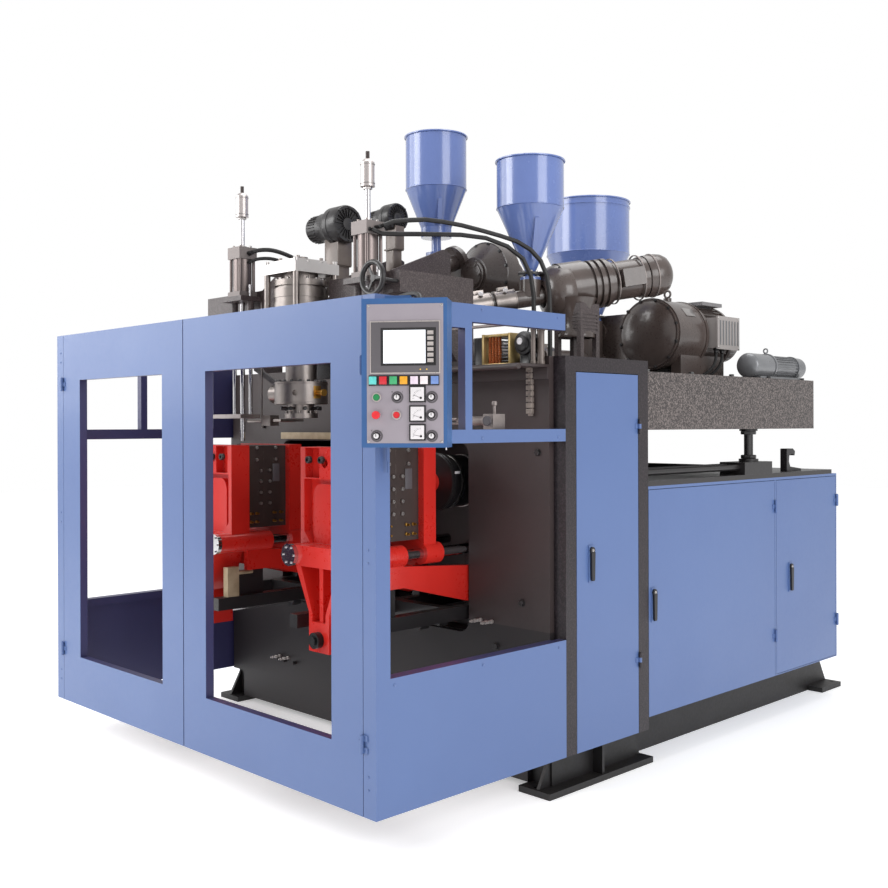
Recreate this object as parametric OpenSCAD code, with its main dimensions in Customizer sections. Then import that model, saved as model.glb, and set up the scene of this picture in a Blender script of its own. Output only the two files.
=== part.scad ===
// Double-station blow moulding machine: guard enclosure, clamp stations, die head,
// extruders with hoppers, frame, cabinet and control box.
// X runs across the front, Y to the rear, Z up. The model is drawn about the die centre
// line and the front plane of the guards, then moved so that its base centre is the origin.

/* [Guard enclosure] */
// Half width of the guard enclosure
enc_half = 1282; // [1262:2:1302]
// Height of the lower edge of the guards
enc_z0 = 172; // [150:2:190]
// Height of the upper edge of the guards
enc_z1 = 2076; // [2060:2:2100]
// Width of a corner post
post_w = 70; // [60:1:76]
// Thickness of panels and rails of the side guards
guard_t = 40; // [30:1:50]
// Top of the lower side panel
low_panel_z = 676; // [600:2:720]
// Lower edge of the middle rail
mid_rail_z = 1530; // [1480:2:1560]
// Height of the middle rail
mid_rail_h = 53; // [40:1:70]
// Height of the top rail
top_rail_h = 70; // [60:1:90]
// Front edge of the short mullion
mullion_y = 465; // [420:5:520]
// Width of the short mullion
mullion_w = 38; // [30:1:50]

/* [Front doors] */
// Place of the seam between the two door leaves
seam_x = -27; // [-60:1:0]
// Gap between the leaves and to the posts
leaf_gap = 3; // [2:0.5:5]
// Thickness of a door leaf
leaf_t = 40; // [30:1:46]
// Width of the door stiles
stile_w = 183; // [150:1:200]
// Height of the bottom rail of a door
leaf_low_h = 246; // [200:2:280]
// Height of the top rail of a door
leaf_top_h = 238; // [200:2:260]
// Radius of a hinge knuckle
knuckle_r = 7.5; // [6:0.1:7.8]
// Radius of a hinge pin
pin_r = 4; // [3:0.5:5]
// Radial play of pins and small shafts
play = 0.05; // [0.03:0.01:0.08]

/* [Main frame] */
// Front face of the bulkhead
bulk_y = 1050; // [1040:1:1060]
// Thickness of the bulkhead
bulk_t = 29; // [20:1:40]
// Height of the frame top
frame_z1 = 1899; // [1890:1:1920]
// Half width of the cut-out for the stations
cut_half = 727; // [724:1:740]
// Lower edge of the cut-out
cut_z0 = 636; // [626:1:640]
// Upper edge of the cut-out
cut_z1 = 1520; // [1512:2:1560]
// Corner radius of the cut-out
cut_r = 60; // [30:1:80]
// Width of a column
col_w = 300; // [280:2:320]
// Depth of a column
col_d = 608; // [600:2:640]
// Wall of a column
col_wall = 12; // [8:1:16]
// Thickness of the foot plates
foot_t = 28; // [20:1:32]
// Radius of an anchor hole
anchor_r = 11; // [9:0.5:14]
// Distance of the anchor holes from the enclosure's side
anchor_in = 122; // [118:1:142]
// Thickness of cabinet doors and the column door
cab_door_t = 20; // [14:1:24]
// Height of the column door top
col_door_z1 = 1830; // [1780:2:1850]
// Width of the column door
col_door_w = 454; // [420:2:470]

/* [Rear cabinet] */
// Rear end of the cabinet
cab_y1 = 3600; // [3590:5:3640]
// Lower edge of the cabinet
cab_z0 = 229; // [220:1:240]
// Top of the cabinet doors
cab_door_z1 = 1293; // [1250:1:1300]
// Height of the black top strip
cab_strip_h = 25; // [15:1:30]
// Width of the larger door
main_door_w = 1180; // [1150:2:1190]
// Wall of the cabinet
cab_wall = 25; // [22:1:32]

/* [Extruder deck] */
// Rear end of the deck
deck_y1 = 3320; // [3310:5:3400]
// Underside of the deck
deck_z0 = 1576; // [1560:2:1600]
// Height of the deck beams
deck_h = 274; // [250:2:290]
// Place of the lift screw
lift_y = 2727; // [2690:1:2760]
// Radius of the lift screw
lift_r = 24; // [16:1:30]

/* [Clamp stations] */
// Distance of a parked station from the die centre line
unit_x = 500; // [496:1:503]
// Parting plane of the moulds and axis of the die head
part_y = 635; // [630:1:640]
// Half width of a platen
platen_half = 220; // [214:1:223]
// Thickness of a platen
platen_t = 105; // [95:1:110]
// Height of the platen top
platen_z1 = 1505; // [1500:1:1510]
// Depth of a mould half
mould_d = 110; // [90:1:120]
// Depth of the rear mould half
mould_rear_d = 135; // [120:1:140]
// Half width of a mould
mould_half = 185; // [150:1:190]
// Lower edge of the mould
mould_z0 = 1090; // [1088:1:1110]
// Top of the mould
mould_z1 = 1500; // [1480:1:1503]
// Radius of the cavity body
cavity_r = 70; // [40:1:80]
// Radius of the cavity neck
neck_r = 20; // [18:1:26]
// Thickness of a rear platen
rear_platen_t = 75; // [65:1:80]
// Radius of the upper tie rods
tie_r = 25; // [20:0.5:26]
// Half spacing of the upper tie rods
tie_x = 196; // [192:1:199]
// Height of the upper tie rods
tie_z = 1025; // [1015:1:1028]
// Radius of the lower tie rod
low_tie_r = 20; // [16:0.5:24]
// Height of the lower tie rod
low_tie_z = 670; // [665:1:680]
// Running play between platens, rods and bearings
slide_play = 0.1; // [0.08:0.01:0.2]
// Radius of the clamp cylinder
clamp_r = 125; // [100:1:130]
// Radius of the clamp piston rod
piston_r = 45; // [35:1:55]
// Height of the clamp cylinder axis
clamp_z = 1330; // [1310:2:1350]
// Top of the carriage beams
beam_z1 = 760; // [750:1:766]
// Height of the carriage beams
beam_h = 60; // [50:1:62]
// Width of a carriage beam
beam_w = 55; // [50:1:56]
// Width of a shuttle rail
rail_w = 40; // [30:1:46]
// Height of a shuttle rail
rail_h = 28; // [24:1:32]

/* [Blow units] */
// Radius of the blow cylinder
blow_r = 48; // [40:1:50]
// Side of the square cylinder heads
blow_head = 107; // [104:1:112]
// Radius of the through rod
blow_rod_r = 12.5; // [10:0.5:14]
// Top of the blow cylinder
blow_z1 = 2520; // [2500:2:2540]
// Radius of the silencer
silencer_r = 31; // [26:1:36]
// Radius of the guide rods
guide_r = 10; // [8:0.5:12]
// Distance of a guide rod from the unit axis
guide_x = 72; // [70:1:78]
// Height of the light plate that carries the blow pin
pin_plate_z = 1640; // [1630:1:1660]
// Lower side of the cross beam
beam2_z = 2198; // [2190:1:2210]
// Height of the cross beam
beam2_h = 98; // [80:1:104]

/* [Die head] */
// Radius of the head body and the lower ring
head_r = 128; // [120:1:132]
// Side of the square top plate
head_plate = 262; // [256:1:268]
// Radius of the corner posts
head_post_r = 15; // [12:0.5:18]
// Top of the head posts
head_post_z = 2328; // [2320:1:2340]
// Radius of the neck between ring and lip
head_neck_r = 62; // [55:1:70]
// Radius of the lip flange
lip_r = 80; // [70:1:90]
// Underside of the lip flange
lip_z = 1637; // [1634:1:1642]

/* [Extruders] */
// Radius of the main barrel
main_r = 60; // [50:1:64]
// Height of the main barrel
main_z = 2000; // [1995:1:2005]
// Radius of the satellite barrels
sat_r = 45; // [38:1:48]
// Rise of the upper satellite
sat1_tilt = 21.3; // [21:0.1:21.6]
// Rise of the side satellite
sat2_tilt = 9.65; // [9:0.05:10]
// Turn of the side satellite to the right
sat2_turn = 30; // [29.5:0.1:30.5]
// Thickness of a heater band
heater_t = 13; // [8:0.5:14]
// Length of a heater band
heater_l = 112; // [90:1:116]
// Pitch of the heater bands
heater_p = 130; // [125:1:140]

/* [Hoppers] */
// Wall of the hoppers
hop_wall = 3; // [2:0.5:5]
// Radius of the main hopper
hop_main_r = 258; // [240:1:270]
// Rim of the main hopper
hop_main_z1 = 2995; // [2960:5:3040]
// Radius of the upper satellite hopper
hop1_r = 165; // [150:1:180]
// Rim of the upper satellite hopper
hop1_z1 = 3168; // [3130:2:3210]
// Radius of the side satellite hopper
hop2_r = 171; // [150:1:180]
// Rim of the side satellite hopper
hop2_z1 = 2944; // [2900:2:2970]

/* [Motors] */
// Radius of the main motor
motor_r = 195; // [185:1:200]
// Height of the main motor axis
motor_z = 2090; // [2086:1:2100]
// Place of the main motor axis
motor_x = 832; // [810:1:850]
// Radius of the small gear motor
pump_r = 68; // [60:1:74]

/* [Control box] */
// Width of the box
cb_w = 299; // [290:1:310]
// Height of the box
cb_h = 514; // [500:1:530]
// Depth of the box
cb_d = 120; // [100:1:130]
// Lower edge of the box
cb_z = 1524; // [1500:1:1540]
// Turn of the box face
cb_turn = 37.5; // [36:0.5:39]
// Radius of a push button
button_r = 11; // [9:0.5:12]
// Radius of a rotary knob
knob_r = 11; // [9:0.5:12]
// Travel of a push button
button_travel = 4; // [2:0.5:5]

/* [Hidden] */
$fn = 48;

blue = [0.47, 0.56, 0.78];
dark_blue = [0.27, 0.52, 0.76];
hammer = [0.36, 0.33, 0.33];
black = [0.12, 0.12, 0.13];
red = [0.85, 0.18, 0.15];
steel = [0.75, 0.75, 0.76];
grey = [0.6, 0.6, 0.62];

// Derived places
post_in = enc_half - post_w;
guard_in = enc_half - guard_t;
anchor_x = enc_half - anchor_in;
frame_y0 = bulk_y + bulk_t;
frame_y1 = frame_y0 + col_d;
col_x0 = enc_half - col_w;
bulk_half = enc_half - 67;
base_half = enc_half - 172;
door_y0 = frame_y0 + 74;
door_y1 = door_y0 + col_door_w;
door_gap = 3;
cab_d1_y0 = frame_y1 + door_gap;
cab_d1_y1 = cab_d1_y0 + main_door_w;
cab_d2_y0 = cab_d1_y1 + 20;
cab_d2_y1 = cab_y1 - 10;
cab_z1 = cab_door_z1 + 17;
deck_z1 = deck_z0 + deck_h;
base_y1 = cab_y1 + 215;
hinge_y = -knuckle_r - 0.5;
hinge_out = 8;

// Clamp station places along Y
mf_y0 = part_y - mould_d;
pf_y0 = mf_y0 - platen_t;
mr_y1 = part_y + mould_rear_d;
pr_y1 = mr_y1 + rear_platen_t;
leg_y0 = pf_y0 - 70;
hub_r = tie_r + 23;
arm_x0 = mould_half + 2;
arm_x1 = platen_half - 3;
arm_y1 = bulk_y + 30;

// Blow unit and beam places
beam2_y0 = part_y + 55;
beam2_y1 = beam2_y0 + 100;
beam2_z1 = beam2_z + beam2_h;
blow_z0 = beam2_z + 67;

// Side satellite origin
s2x = 82;
s2y = part_y + 85;
s2z = main_z + 70;
s1y = part_y + 145;
s1z = main_z + 146;
hop1_y = 1550;
hop2_l = 1065;
main_feed_y = 2880;
main_gear_y = 2990;
wheel_x = 636;
wheel_y = beam2_y0 - 145;
band_y0 = beam2_y0 + 140;

// Control box place: its lower front-left corner
cb_x = enc_half + 87;
cb_y = -137;
face_t = 4;

// The model's base centre
x_far = cb_x + cb_w * cos(cb_turn);
x_shift = -(x_far - enc_half) / 2;
y_shift = -(base_y1 + cb_y) / 2;

// Boxes by their limits, cylinders along an axis and plates cut from an outline
module bx(x0, x1, y0, y1, z0, z1) {
    translate([x0, y0, z0]) cube([x1 - x0, y1 - y0, z1 - z0]);
}
module rx(x0, x1, y, z, r) {
    translate([x0, y, z]) rotate([0, 90, 0]) cylinder(h = x1 - x0, r = r);
}
module ry(y0, y1, x, z, r) {
    translate([x, y0, z]) rotate([-90, 0, 0]) cylinder(h = y1 - y0, r = r);
}
module rz(z0, z1, x, y, r) {
    translate([x, y, z0]) cylinder(h = z1 - z0, r = r);
}
module pxz(pts, y0, y1) {
    translate([0, y1, 0]) rotate([90, 0, 0]) linear_extrude(height = y1 - y0) polygon(pts);
}
module pyz(pts, x0, x1) {
    translate([x0, 0, 0]) rotate([90, 0, 90]) linear_extrude(height = x1 - x0) polygon(pts);
}
module pxy(pts, z0, z1) {
    translate([0, 0, z0]) linear_extrude(height = z1 - z0) polygon(pts);
}
module both() {
    children();
    mirror([1, 0, 0]) children();
}
// A ring of bolt heads about the Y axis
module bolts_y(n, pcd, y0, y1, x, z, r) {
    for (i = [0 : n - 1])
        ry(y0, y1, x + pcd * cos(360 * i / n), z + pcd * sin(360 * i / n), r);
}

// Structure

module foot_plate() {
    difference() {
        bx(base_half - 25, enc_half - 20, bulk_y - 60, frame_y1 + 63, 0, foot_t);
        rz(-1, foot_t + 1, anchor_x, bulk_y - 30, anchor_r);
        rz(-1, foot_t + 1, anchor_x, frame_y1 + 30, anchor_r);
    }
    // recessed column base and its gussets
    bx(col_x0 + 20, enc_half - 82, frame_y0, frame_y1, foot_t, enc_z0);
    pyz([[frame_y0, foot_t], [frame_y0, enc_z0 - 10], [bulk_y - 45, foot_t]],
        enc_half - 106, enc_half - 90);
    pyz([[frame_y1, foot_t], [frame_y1, enc_z0], [frame_y1 + 50, foot_t]],
        enc_half - 106, enc_half - 90);
    bx(enc_half - 82, enc_half - 30, frame_y0 + 290, frame_y0 + 306, foot_t, enc_z0);
}

module rear_foot() {
    difference() {
        bx(base_half - 25, enc_half - 78, base_y1 - 240, base_y1, 0, foot_t);
        rz(-1, foot_t + 1, anchor_x, base_y1 - 30, anchor_r);
    }
    pyz([[base_y1 - 85, foot_t], [base_y1 - 85, 150], [base_y1 - 12, foot_t]],
        base_half - 14, base_half);
}

module base_frame() {
    color(black) {
        both() foot_plate();
        both() rear_foot();
        // long base beams with cross members
        both() difference() {
            bx(base_half - 160, base_half, frame_y1 + 63, base_y1 - 85, 0, cab_z0);
            bx(base_half - 120, base_half - 25, frame_y1 + 62, base_y1 - 84, 22, cab_z0 - 22);
        }
        both() bx(base_half - 25, base_half, frame_y1 + 1000, frame_y1 + 1016, 22, cab_z0 - 22);
        for (y = [frame_y1 + 120, frame_y1 + 1000, base_y1 - 245])
            bx(160 - base_half, base_half - 160, y, y + 90, 40, cab_z0);
    }
}

module front_bulkhead() {
    color(black) {
        difference() {
            pxz([[-bulk_half, enc_z0], [-base_half, enc_z0], [-base_half, foot_t],
                [base_half - 25, foot_t], [base_half - 25, enc_z0], [bulk_half, enc_z0],
                [bulk_half, frame_z1], [-bulk_half, frame_z1]], bulk_y, frame_y0);
            translate([0, frame_y0 + 1, 0]) rotate([90, 0, 0])
                linear_extrude(height = bulk_t + 2) union() {
                    translate([-cut_half, cut_z0 + cut_r])
                        square([2 * cut_half, cut_z1 - cut_z0 - 2 * cut_r]);
                    translate([cut_r - cut_half, cut_z0])
                        square([2 * cut_half - 2 * cut_r, cut_z1 - cut_z0]);
                    for (sx = [-1, 1], zz = [cut_z0 + cut_r, cut_z1 - cut_r])
                        translate([sx * (cut_half - cut_r), zz]) circle(r = cut_r);
                }
        }
        // top, floor and back of the box frame
        bx(-col_x0, col_x0, frame_y0, frame_y1, frame_z1 - 30, frame_z1);
        bx(-col_x0, col_x0, frame_y1 - 27, frame_y1, foot_t, frame_z1 - 30);
        bx(-col_x0, col_x0, frame_y0, frame_y1 - 27, foot_t, 60);
    }
    // small fittings on the front
    color(steel) for (x = [-760, -735, -700, -610])
        ry(bulk_y - 22, bulk_y, x, 292, 9);
}

module frame_columns() {
    color(hammer) {
        difference() {
            bx(col_x0, enc_half, frame_y0, frame_y1, enc_z0, frame_z1);
            bx(col_x0 + col_wall, enc_half - cab_door_t - 6, frame_y0 + col_wall,
                frame_y1 - col_wall, enc_z0 + col_wall, frame_z1 - 45);
            bx(enc_half - cab_door_t - 7, enc_half + 1, door_y0 - door_gap,
                door_y1 + door_gap, enc_z0 - 1, col_door_z1 + door_gap);
        }
        // mounting plate behind the door
        bx(col_x0 + col_wall, col_x0 + col_wall + 6, frame_y0 + 80, frame_y1 - 80,
            enc_z0 + 90, frame_z1 - 120);
        bx(-enc_half, -col_x0, frame_y0, frame_y1, enc_z0, frame_z1);
    }
    color(blue) for (z = [478, 1560]) {
        translate([0, door_y1 + door_gap, z]) fixed_knuckle();
    }
}

// Hinge halves on the right side: the axis stands clear of the face
module fixed_knuckle() {
    for (z = [0, 44]) {
        translate([enc_half + hinge_out, 0, z]) difference() {
            cylinder(h = 22, r = knuckle_r);
            translate([0, 0, -1]) cylinder(h = 24, r = pin_r);
        }
        bx(enc_half, enc_half + 4, 0, 14, z, z + 22);
    }
    translate([enc_half + hinge_out, 0, -3]) cylinder(h = 72, r = pin_r);
}
module leaf_knuckle() {
    translate([enc_half + hinge_out, 0, 22.3]) difference() {
        cylinder(h = 21.4, r = knuckle_r);
        translate([0, 0, -1]) cylinder(h = 24, r = pin_r + play);
    }
    bx(enc_half, enc_half + 3, -26, -door_gap, 22.3, 43.7);
    bx(enc_half, enc_half + hinge_out - pin_r - 0.5, -7, -door_gap, 22.3, 43.7);
}

module rear_cabinet() {
    color(blue) {
        difference() {
            bx(-enc_half, enc_half, frame_y1, cab_y1, cab_z0, cab_z1);
            bx(cab_wall - enc_half, enc_half - cab_wall, frame_y1 + cab_wall,
                cab_y1 - cab_wall, cab_z0 + cab_wall, cab_z1 - cab_wall);
            bx(enc_half - cab_wall - 1, enc_half + 1, frame_y1 - 1, cab_d1_y1 + door_gap,
                cab_z0 - 1, cab_door_z1 + door_gap);
            bx(enc_half - cab_wall - 1, enc_half + 1, cab_d2_y0 - door_gap,
                cab_d2_y1 + door_gap, cab_z0 + 5, cab_door_z1 + door_gap);
        }
        for (z = [416, 1120]) {
            translate([0, cab_d1_y1 + door_gap, z]) fixed_knuckle();
            translate([0, cab_d2_y1 + door_gap, z]) fixed_knuckle();
        }
    }
    // black top strip
    color(black)
        bx(-enc_half, enc_half, frame_y1, cab_y1 - 60, cab_z1, cab_z1 + cab_strip_h);
    // oil tank, pump motor and pump behind the doors
    color(grey) {
        bx(-900, 500, frame_y1 + 250, frame_y1 + 1150, cab_z0 + cab_wall, 780);
        bx(-500, 300, frame_y1 + 420, frame_y1 + 820, 780, 815);
        ry(frame_y1 + 480, frame_y1 + 760, -100, 935, 120);
        ry(frame_y1 + 400, frame_y1 + 480, -100, 935, 60);
    }
}

module extruder_deck() {
    color(hammer) {
        difference() {
            bx(-enc_half, enc_half, frame_y1, deck_y1, deck_z0, deck_z1);
            bx(110 - enc_half, enc_half - 110, frame_y1 + 110, deck_y1 - 110, deck_z0 - 1,
                deck_z1 - 20);
        }
        for (x = [-500, 480])
            bx(x, x + 20, frame_y1 + 110, deck_y1 - 110, deck_z0 + 60, deck_z1 - 20);
        bx(-enc_half + 110, enc_half - 110, lift_y - 10, lift_y + 10, deck_z0, deck_z0 + 60);
    }
}

module side_guard() {
    color(blue) {
        bx(post_in, enc_half, 0, post_w, enc_z0, enc_z1);
        bx(guard_in, enc_half, post_w, frame_y0, enc_z0, low_panel_z);
        bx(guard_in, enc_half, post_w, frame_y0, mid_rail_z, mid_rail_z + mid_rail_h);
        bx(guard_in, enc_half, post_w, frame_y0, enc_z1 - top_rail_h, enc_z1);
        bx(guard_in, enc_half, mullion_y, mullion_y + mullion_w, mid_rail_z + mid_rail_h,
            enc_z1 - top_rail_h);
        // deeper head where the mullion meets the top rail
        bx(guard_in, enc_half, mullion_y - 105, mullion_y, enc_z1 - top_rail_h - 26,
            enc_z1 - top_rail_h);
        // inner stiffener of the lower panel
        bx(guard_in - 14, guard_in, post_w, bulk_y - 20, low_panel_z - 40, low_panel_z);
        for (z = [440, 1820])
            front_knuckle(z);
    }
}
// Front hinge: knuckles on the post, the leaf's knuckle sits between them
module front_knuckle(z) {
    for (k = [-33, 11]) {
        translate([post_in, hinge_y, z + k]) difference() {
            cylinder(h = 22, r = knuckle_r);
            translate([0, 0, -1]) cylinder(h = 24, r = pin_r);
        }
        bx(post_in + 0.5, post_in + 26, -3.5, 0, z + k, z + k + 22);
        bx(post_in + 5, post_in + 9, hinge_y + 1, -3, z + k, z + k + 22);
    }
    rz(z - 36, z + 36, post_in, hinge_y, pin_r);
}

module side_guard_right() {
    side_guard();
    // hook with a T key on its chain
    color(steel) {
        translate([0, 46, 1556]) rotate([0, 90, 0]) translate([0, 0, enc_half])
            cylinder(h = 16, r = 3);
        rx(enc_half + 12, enc_half + 16, 46, 1556, 7);
        bx(enc_half + 16, enc_half + 19, 40, 52, 1470, 1563);
        rz(1430, 1470, enc_half + 17.5, 46, 4);
    }
}
module side_guard_left() {
    mirror([1, 0, 0]) side_guard();
    // rear stile of the upper opening
    color(blue) bx(-enc_half, -guard_in, bulk_y - 120, frame_y0, mid_rail_z + mid_rail_h,
        enc_z1 - top_rail_h);
}

module deck_lifts() {
    color(black) {
        for (s = [-1, 1]) {
            x = s * (enc_half - 75);
            rz(cab_z1 + cab_strip_h + 65, deck_z0 - 11, x, lift_y, lift_r);
            rz(deck_z0 - 11, deck_z0, x, lift_y, 48);
            bx(x - 75, x + 75, lift_y - 167, lift_y + 118, cab_z1 + cab_strip_h,
                cab_z1 + cab_strip_h + 65);
            rz(cab_z1 + cab_strip_h + 65, cab_z1 + cab_strip_h + 80, x, lift_y, 52);
            ry(frame_y1, lift_y - 167, x + 30, 1373, 16);
            ry(frame_y1, lift_y - 167, x - 40, 1385, 8);
            // locking hook behind the lift
            pyz([[3110, cab_z1 + cab_strip_h], [3275, cab_z1 + cab_strip_h],
                [3275, cab_z1 + cab_strip_h + 12], [3150, cab_z1 + cab_strip_h + 26],
                [3135, cab_z1 + cab_strip_h + 55], [3140, cab_z1 + cab_strip_h + 92],
                [3175, cab_z1 + cab_strip_h + 98], [3200, cab_z1 + cab_strip_h + 88],
                [3206, cab_z1 + cab_strip_h + 112], [3180, cab_z1 + cab_strip_h + 128],
                [3110, cab_z1 + cab_strip_h + 128]], x - 20, x + 20);
        }
        rx(-enc_half + 150, enc_half - 150, lift_y - 80, cab_z1 + cab_strip_h + 32, 14);
    }
}

// Blow units

module beam_arm(x0) {
    pyz([[beam2_y1, beam2_z + 10], [bulk_y, frame_z1], [bulk_y + 110, frame_z1],
        [bulk_y + 110, beam2_z1], [beam2_y1, beam2_z1]], x0, x0 + 40);
}
module blow_beam() {
    color(hammer) {
        bx(-915, -150, beam2_y0, beam2_y1, beam2_z, beam2_z1);
        bx(150, 655, beam2_y0, beam2_y1, beam2_z, beam2_z1);
        beam_arm(-915);
        beam_arm(615);
        pxz([[-440, beam2_z1], [-160, beam2_z1], [-160, beam2_z1 + 150]], beam2_y0 + 20,
            beam2_y0 + 36);
        for (s = [-1, 1]) {
            difference() {
                bx(s * unit_x - 90, s * unit_x + 90, part_y - 70, beam2_y0, blow_z0 - 25,
                    blow_z0);
                rz(blow_z0 - 26, blow_z0 + 1, s * unit_x, part_y, blow_rod_r + play);
                for (g = [-1, 1])
                    rz(blow_z0 - 26, blow_z0 + 1, s * unit_x + g * guide_x, part_y,
                        guide_r + play);
            }
            for (g = [-1, 1]) difference() {
                rz(blow_z0 - 90, blow_z0 - 25, s * unit_x + g * guide_x, part_y, 18);
                rz(blow_z0 - 91, blow_z0 - 24, s * unit_x + g * guide_x, part_y,
                    guide_r + play);
            }
        }
    }
}

module blow_cylinders() {
    for (s = [-1, 1]) translate([s * unit_x, part_y, 0]) {
        color(grey) difference() {
            union() {
                cylinder_body();
                rz(blow_z1, blow_z1 + 8, 0, 0, 24);
                for (a = [45 : 90 : 315])
                    rz(blow_z1, blow_z1 + 12, 43 * cos(a), 43 * sin(a), 6);
            }
            rz(blow_z0 - 1, blow_z1 + 20, 0, 0, blow_rod_r + play);
        }
        color(black) rx(blow_head / 2, blow_head / 2 + 34, 0, blow_z1 - 30, 9);
    }
    // knife carrier, hung on the front of the beam
    color(grey) {
        bx(-410, -400, part_y + 51, beam2_y0, 1590, beam2_z1);
        difference() {
            bx(-400, -330, part_y + 51, part_y + 105, 1600, 1654);
            rx(-401, -329, part_y + 75, 1627, 8 + play);
        }
    }
}
module cylinder_body() {
    bx(-blow_head / 2, blow_head / 2, -blow_head / 2, blow_head / 2, blow_z0, blow_z0 + 26);
    rz(blow_z0 + 26, blow_z1 - 60, 0, 0, blow_r);
    bx(-blow_head / 2, blow_head / 2, -blow_head / 2, blow_head / 2, blow_z1 - 60, blow_z1);
    for (a = [45 : 90 : 315])
        rz(blow_z0 + 26, blow_z1 - 60, 58 * cos(a), 58 * sin(a), 8);
}

module blow_pin(s) {
    translate([s * unit_x, part_y, 0]) color(steel) {
        // pin and through rod
        rz(1522, 1560, 0, 0, blow_rod_r - 2);
        rz(1560, pin_plate_z, 0, 0, blow_rod_r);
        rz(pin_plate_z + 20, 2680, 0, 0, blow_rod_r);
        difference() {
            bx(s < 0 ? -230 : -84, s < 0 ? 84 : 230, -70, 50, pin_plate_z, pin_plate_z + 20);
            for (x = [-45, 45], y = [-45, 30])
                rz(pin_plate_z - 1, pin_plate_z + 21, x, y, 6);
        }
        for (g = [-1, 1])
            rz(pin_plate_z + 20, blow_z0 + 60, g * guide_x, 0, guide_r);
        // silencer
        rz(2680, 2686, 0, 0, silencer_r + 2);
        rz(2686, 2790, 0, 0, silencer_r);
        translate([0, 0, 2790]) cylinder(h = 14, r1 = silencer_r, r2 = 17);
        rz(2804, 2840, 0, 0, 9);
    }
}

module parison_knife() {
    color(steel) {
        rx(-560, -160, part_y + 75, 1627, 8);
        bx(-160, -100, part_y - 50, part_y + 90, 1621, 1633);
    }
}

module handwheel() {
    color(black) translate([wheel_x, wheel_y, beam2_z + 48]) rotate([-90, 0, 0]) {
        rotate_extrude($fn = 64) translate([70, 0]) circle(r = 12, $fn = 24);
        cylinder(h = 24, r = 15);
        for (a = [0 : 120 : 240])
            rotate([0, 0, a]) translate([10, -5, 1]) cube([54, 10, 8]);
        cylinder(h = beam2_y0 - wheel_y - 0.3, r = 10);
    }
}

// Die head

module die_head() {
    h = head_plate / 2;
    color(grey) translate([0, part_y, 0]) {
        bx(-h, h, -h, h, head_post_z, head_post_z + 50);
        for (x = [-1, 1], y = [-1, 1])
            rz(main_z + 80, head_post_z, x * (h - 16), y * (h - 16), head_post_r);
        // base of the posts, split body and raised collar
        bx(-h, h, -h, h, main_z + main_r, main_z + 80);
        rz(main_z + 80, main_z + 262, 0, 0, head_r);
        rz(main_z + 262, main_z + 272, 0, 0, head_r - 12);
        rz(main_z + 272, main_z + 300, 0, 0, head_r);
        rz(main_z + 300, head_post_z, 0, 0, head_r - 44);
        for (a = [15 : 30 : 345])
            rz(main_z + 300, main_z + 314, 106 * cos(a), 106 * sin(a), 8);
        // block on the top plate with its studs
        bx(-90, 90, -90, 90, head_post_z + 50, head_post_z + 70);
        rz(head_post_z + 70, head_post_z + 88, 0, 0, 34);
        for (x = [-1, 1], y = [-1, 1]) {
            rz(head_post_z + 70, head_post_z + 84, x * 70, y * 70, 9);
            rz(head_post_z + 50, head_post_z + 66, x * (h - 14), y * (h - 14), 12);
        }
        // waist, lower ring with its clamp studs, neck and lip flange
        rz(1811, main_z + main_r, 0, 0, 75);
        difference() {
            rz(1704, 1811, 0, 0, head_r);
            translate([0, 0, 1757]) rotate([0, 0, -50]) rotate([0, 90, 0])
                translate([0, 0, head_r - 30]) cylinder(h = 40, r = 14);
        }
        rx(-215, -head_r + 6, 0, 1757, 46);
        rx(-228, -215, 0, 1757, 34);
        bx(-236, -205, 0, beam2_y0 - part_y, 1764, 1794);
        rz(1660, 1704, 0, 0, head_neck_r);
        difference() {
            rz(lip_z, 1660, 0, 0, lip_r);
            rz(lip_z - 1, lip_z + 12, 0, 0, 34);
        }
        rz(lip_z, lip_z + 12, 0, 0, 28);
        for (a = [0 : 45 : 315])
            rz(1660, 1672, 70.5 * cos(a), 70.5 * sin(a), 6);
        bx(-110, 110, 0, beam2_y0 + 68 - part_y, main_z - 70, main_z + main_r);
    }
    // melt adapters toward the two satellite barrels
    color(grey) {
        along_upper() ry(-110, 20, 0, 0, sat_r + 16);
        along_side() ry(-60, side_start_l, 0, 0, sat_r + 6);
    }
    // brass terminal at the right of the lower ring
    color([0.72, 0.56, 0.25]) {
        rx(head_r - 6, head_r + 40, part_y, 1757, 12);
        rx(head_r + 40, head_r + 52, part_y, 1757, 17);
    }
}

module head_yoke() {
    y0 = beam2_y0 + 68;
    color(hammer) {
        difference() {
            bx(-160, 160, y0, y0 + 40, 1830, main_z + 14);
            ry(y0 - 1, y0 + 41, 0, main_z, main_r + 16);
            bx(-main_r - 16, main_r + 16, y0 - 1, y0 + 41, main_z, main_z + 21);
        }
        both() bx(130, 160, y0 + 40, bulk_y + 150, frame_z1, main_z);
    }
    // diagonal strut from the ring's clamp to a hanger under the beam
    color(grey) {
        pxz([[-212, 1792], [-222, 1770], [-480, 1888], [-480, 1912], [-468, 1912]],
            beam2_y0, beam2_y0 + 12);
        bx(-480, -455, beam2_y0, beam2_y0 + 12, 1890, beam2_z);
    }
}

// Extruders

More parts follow.
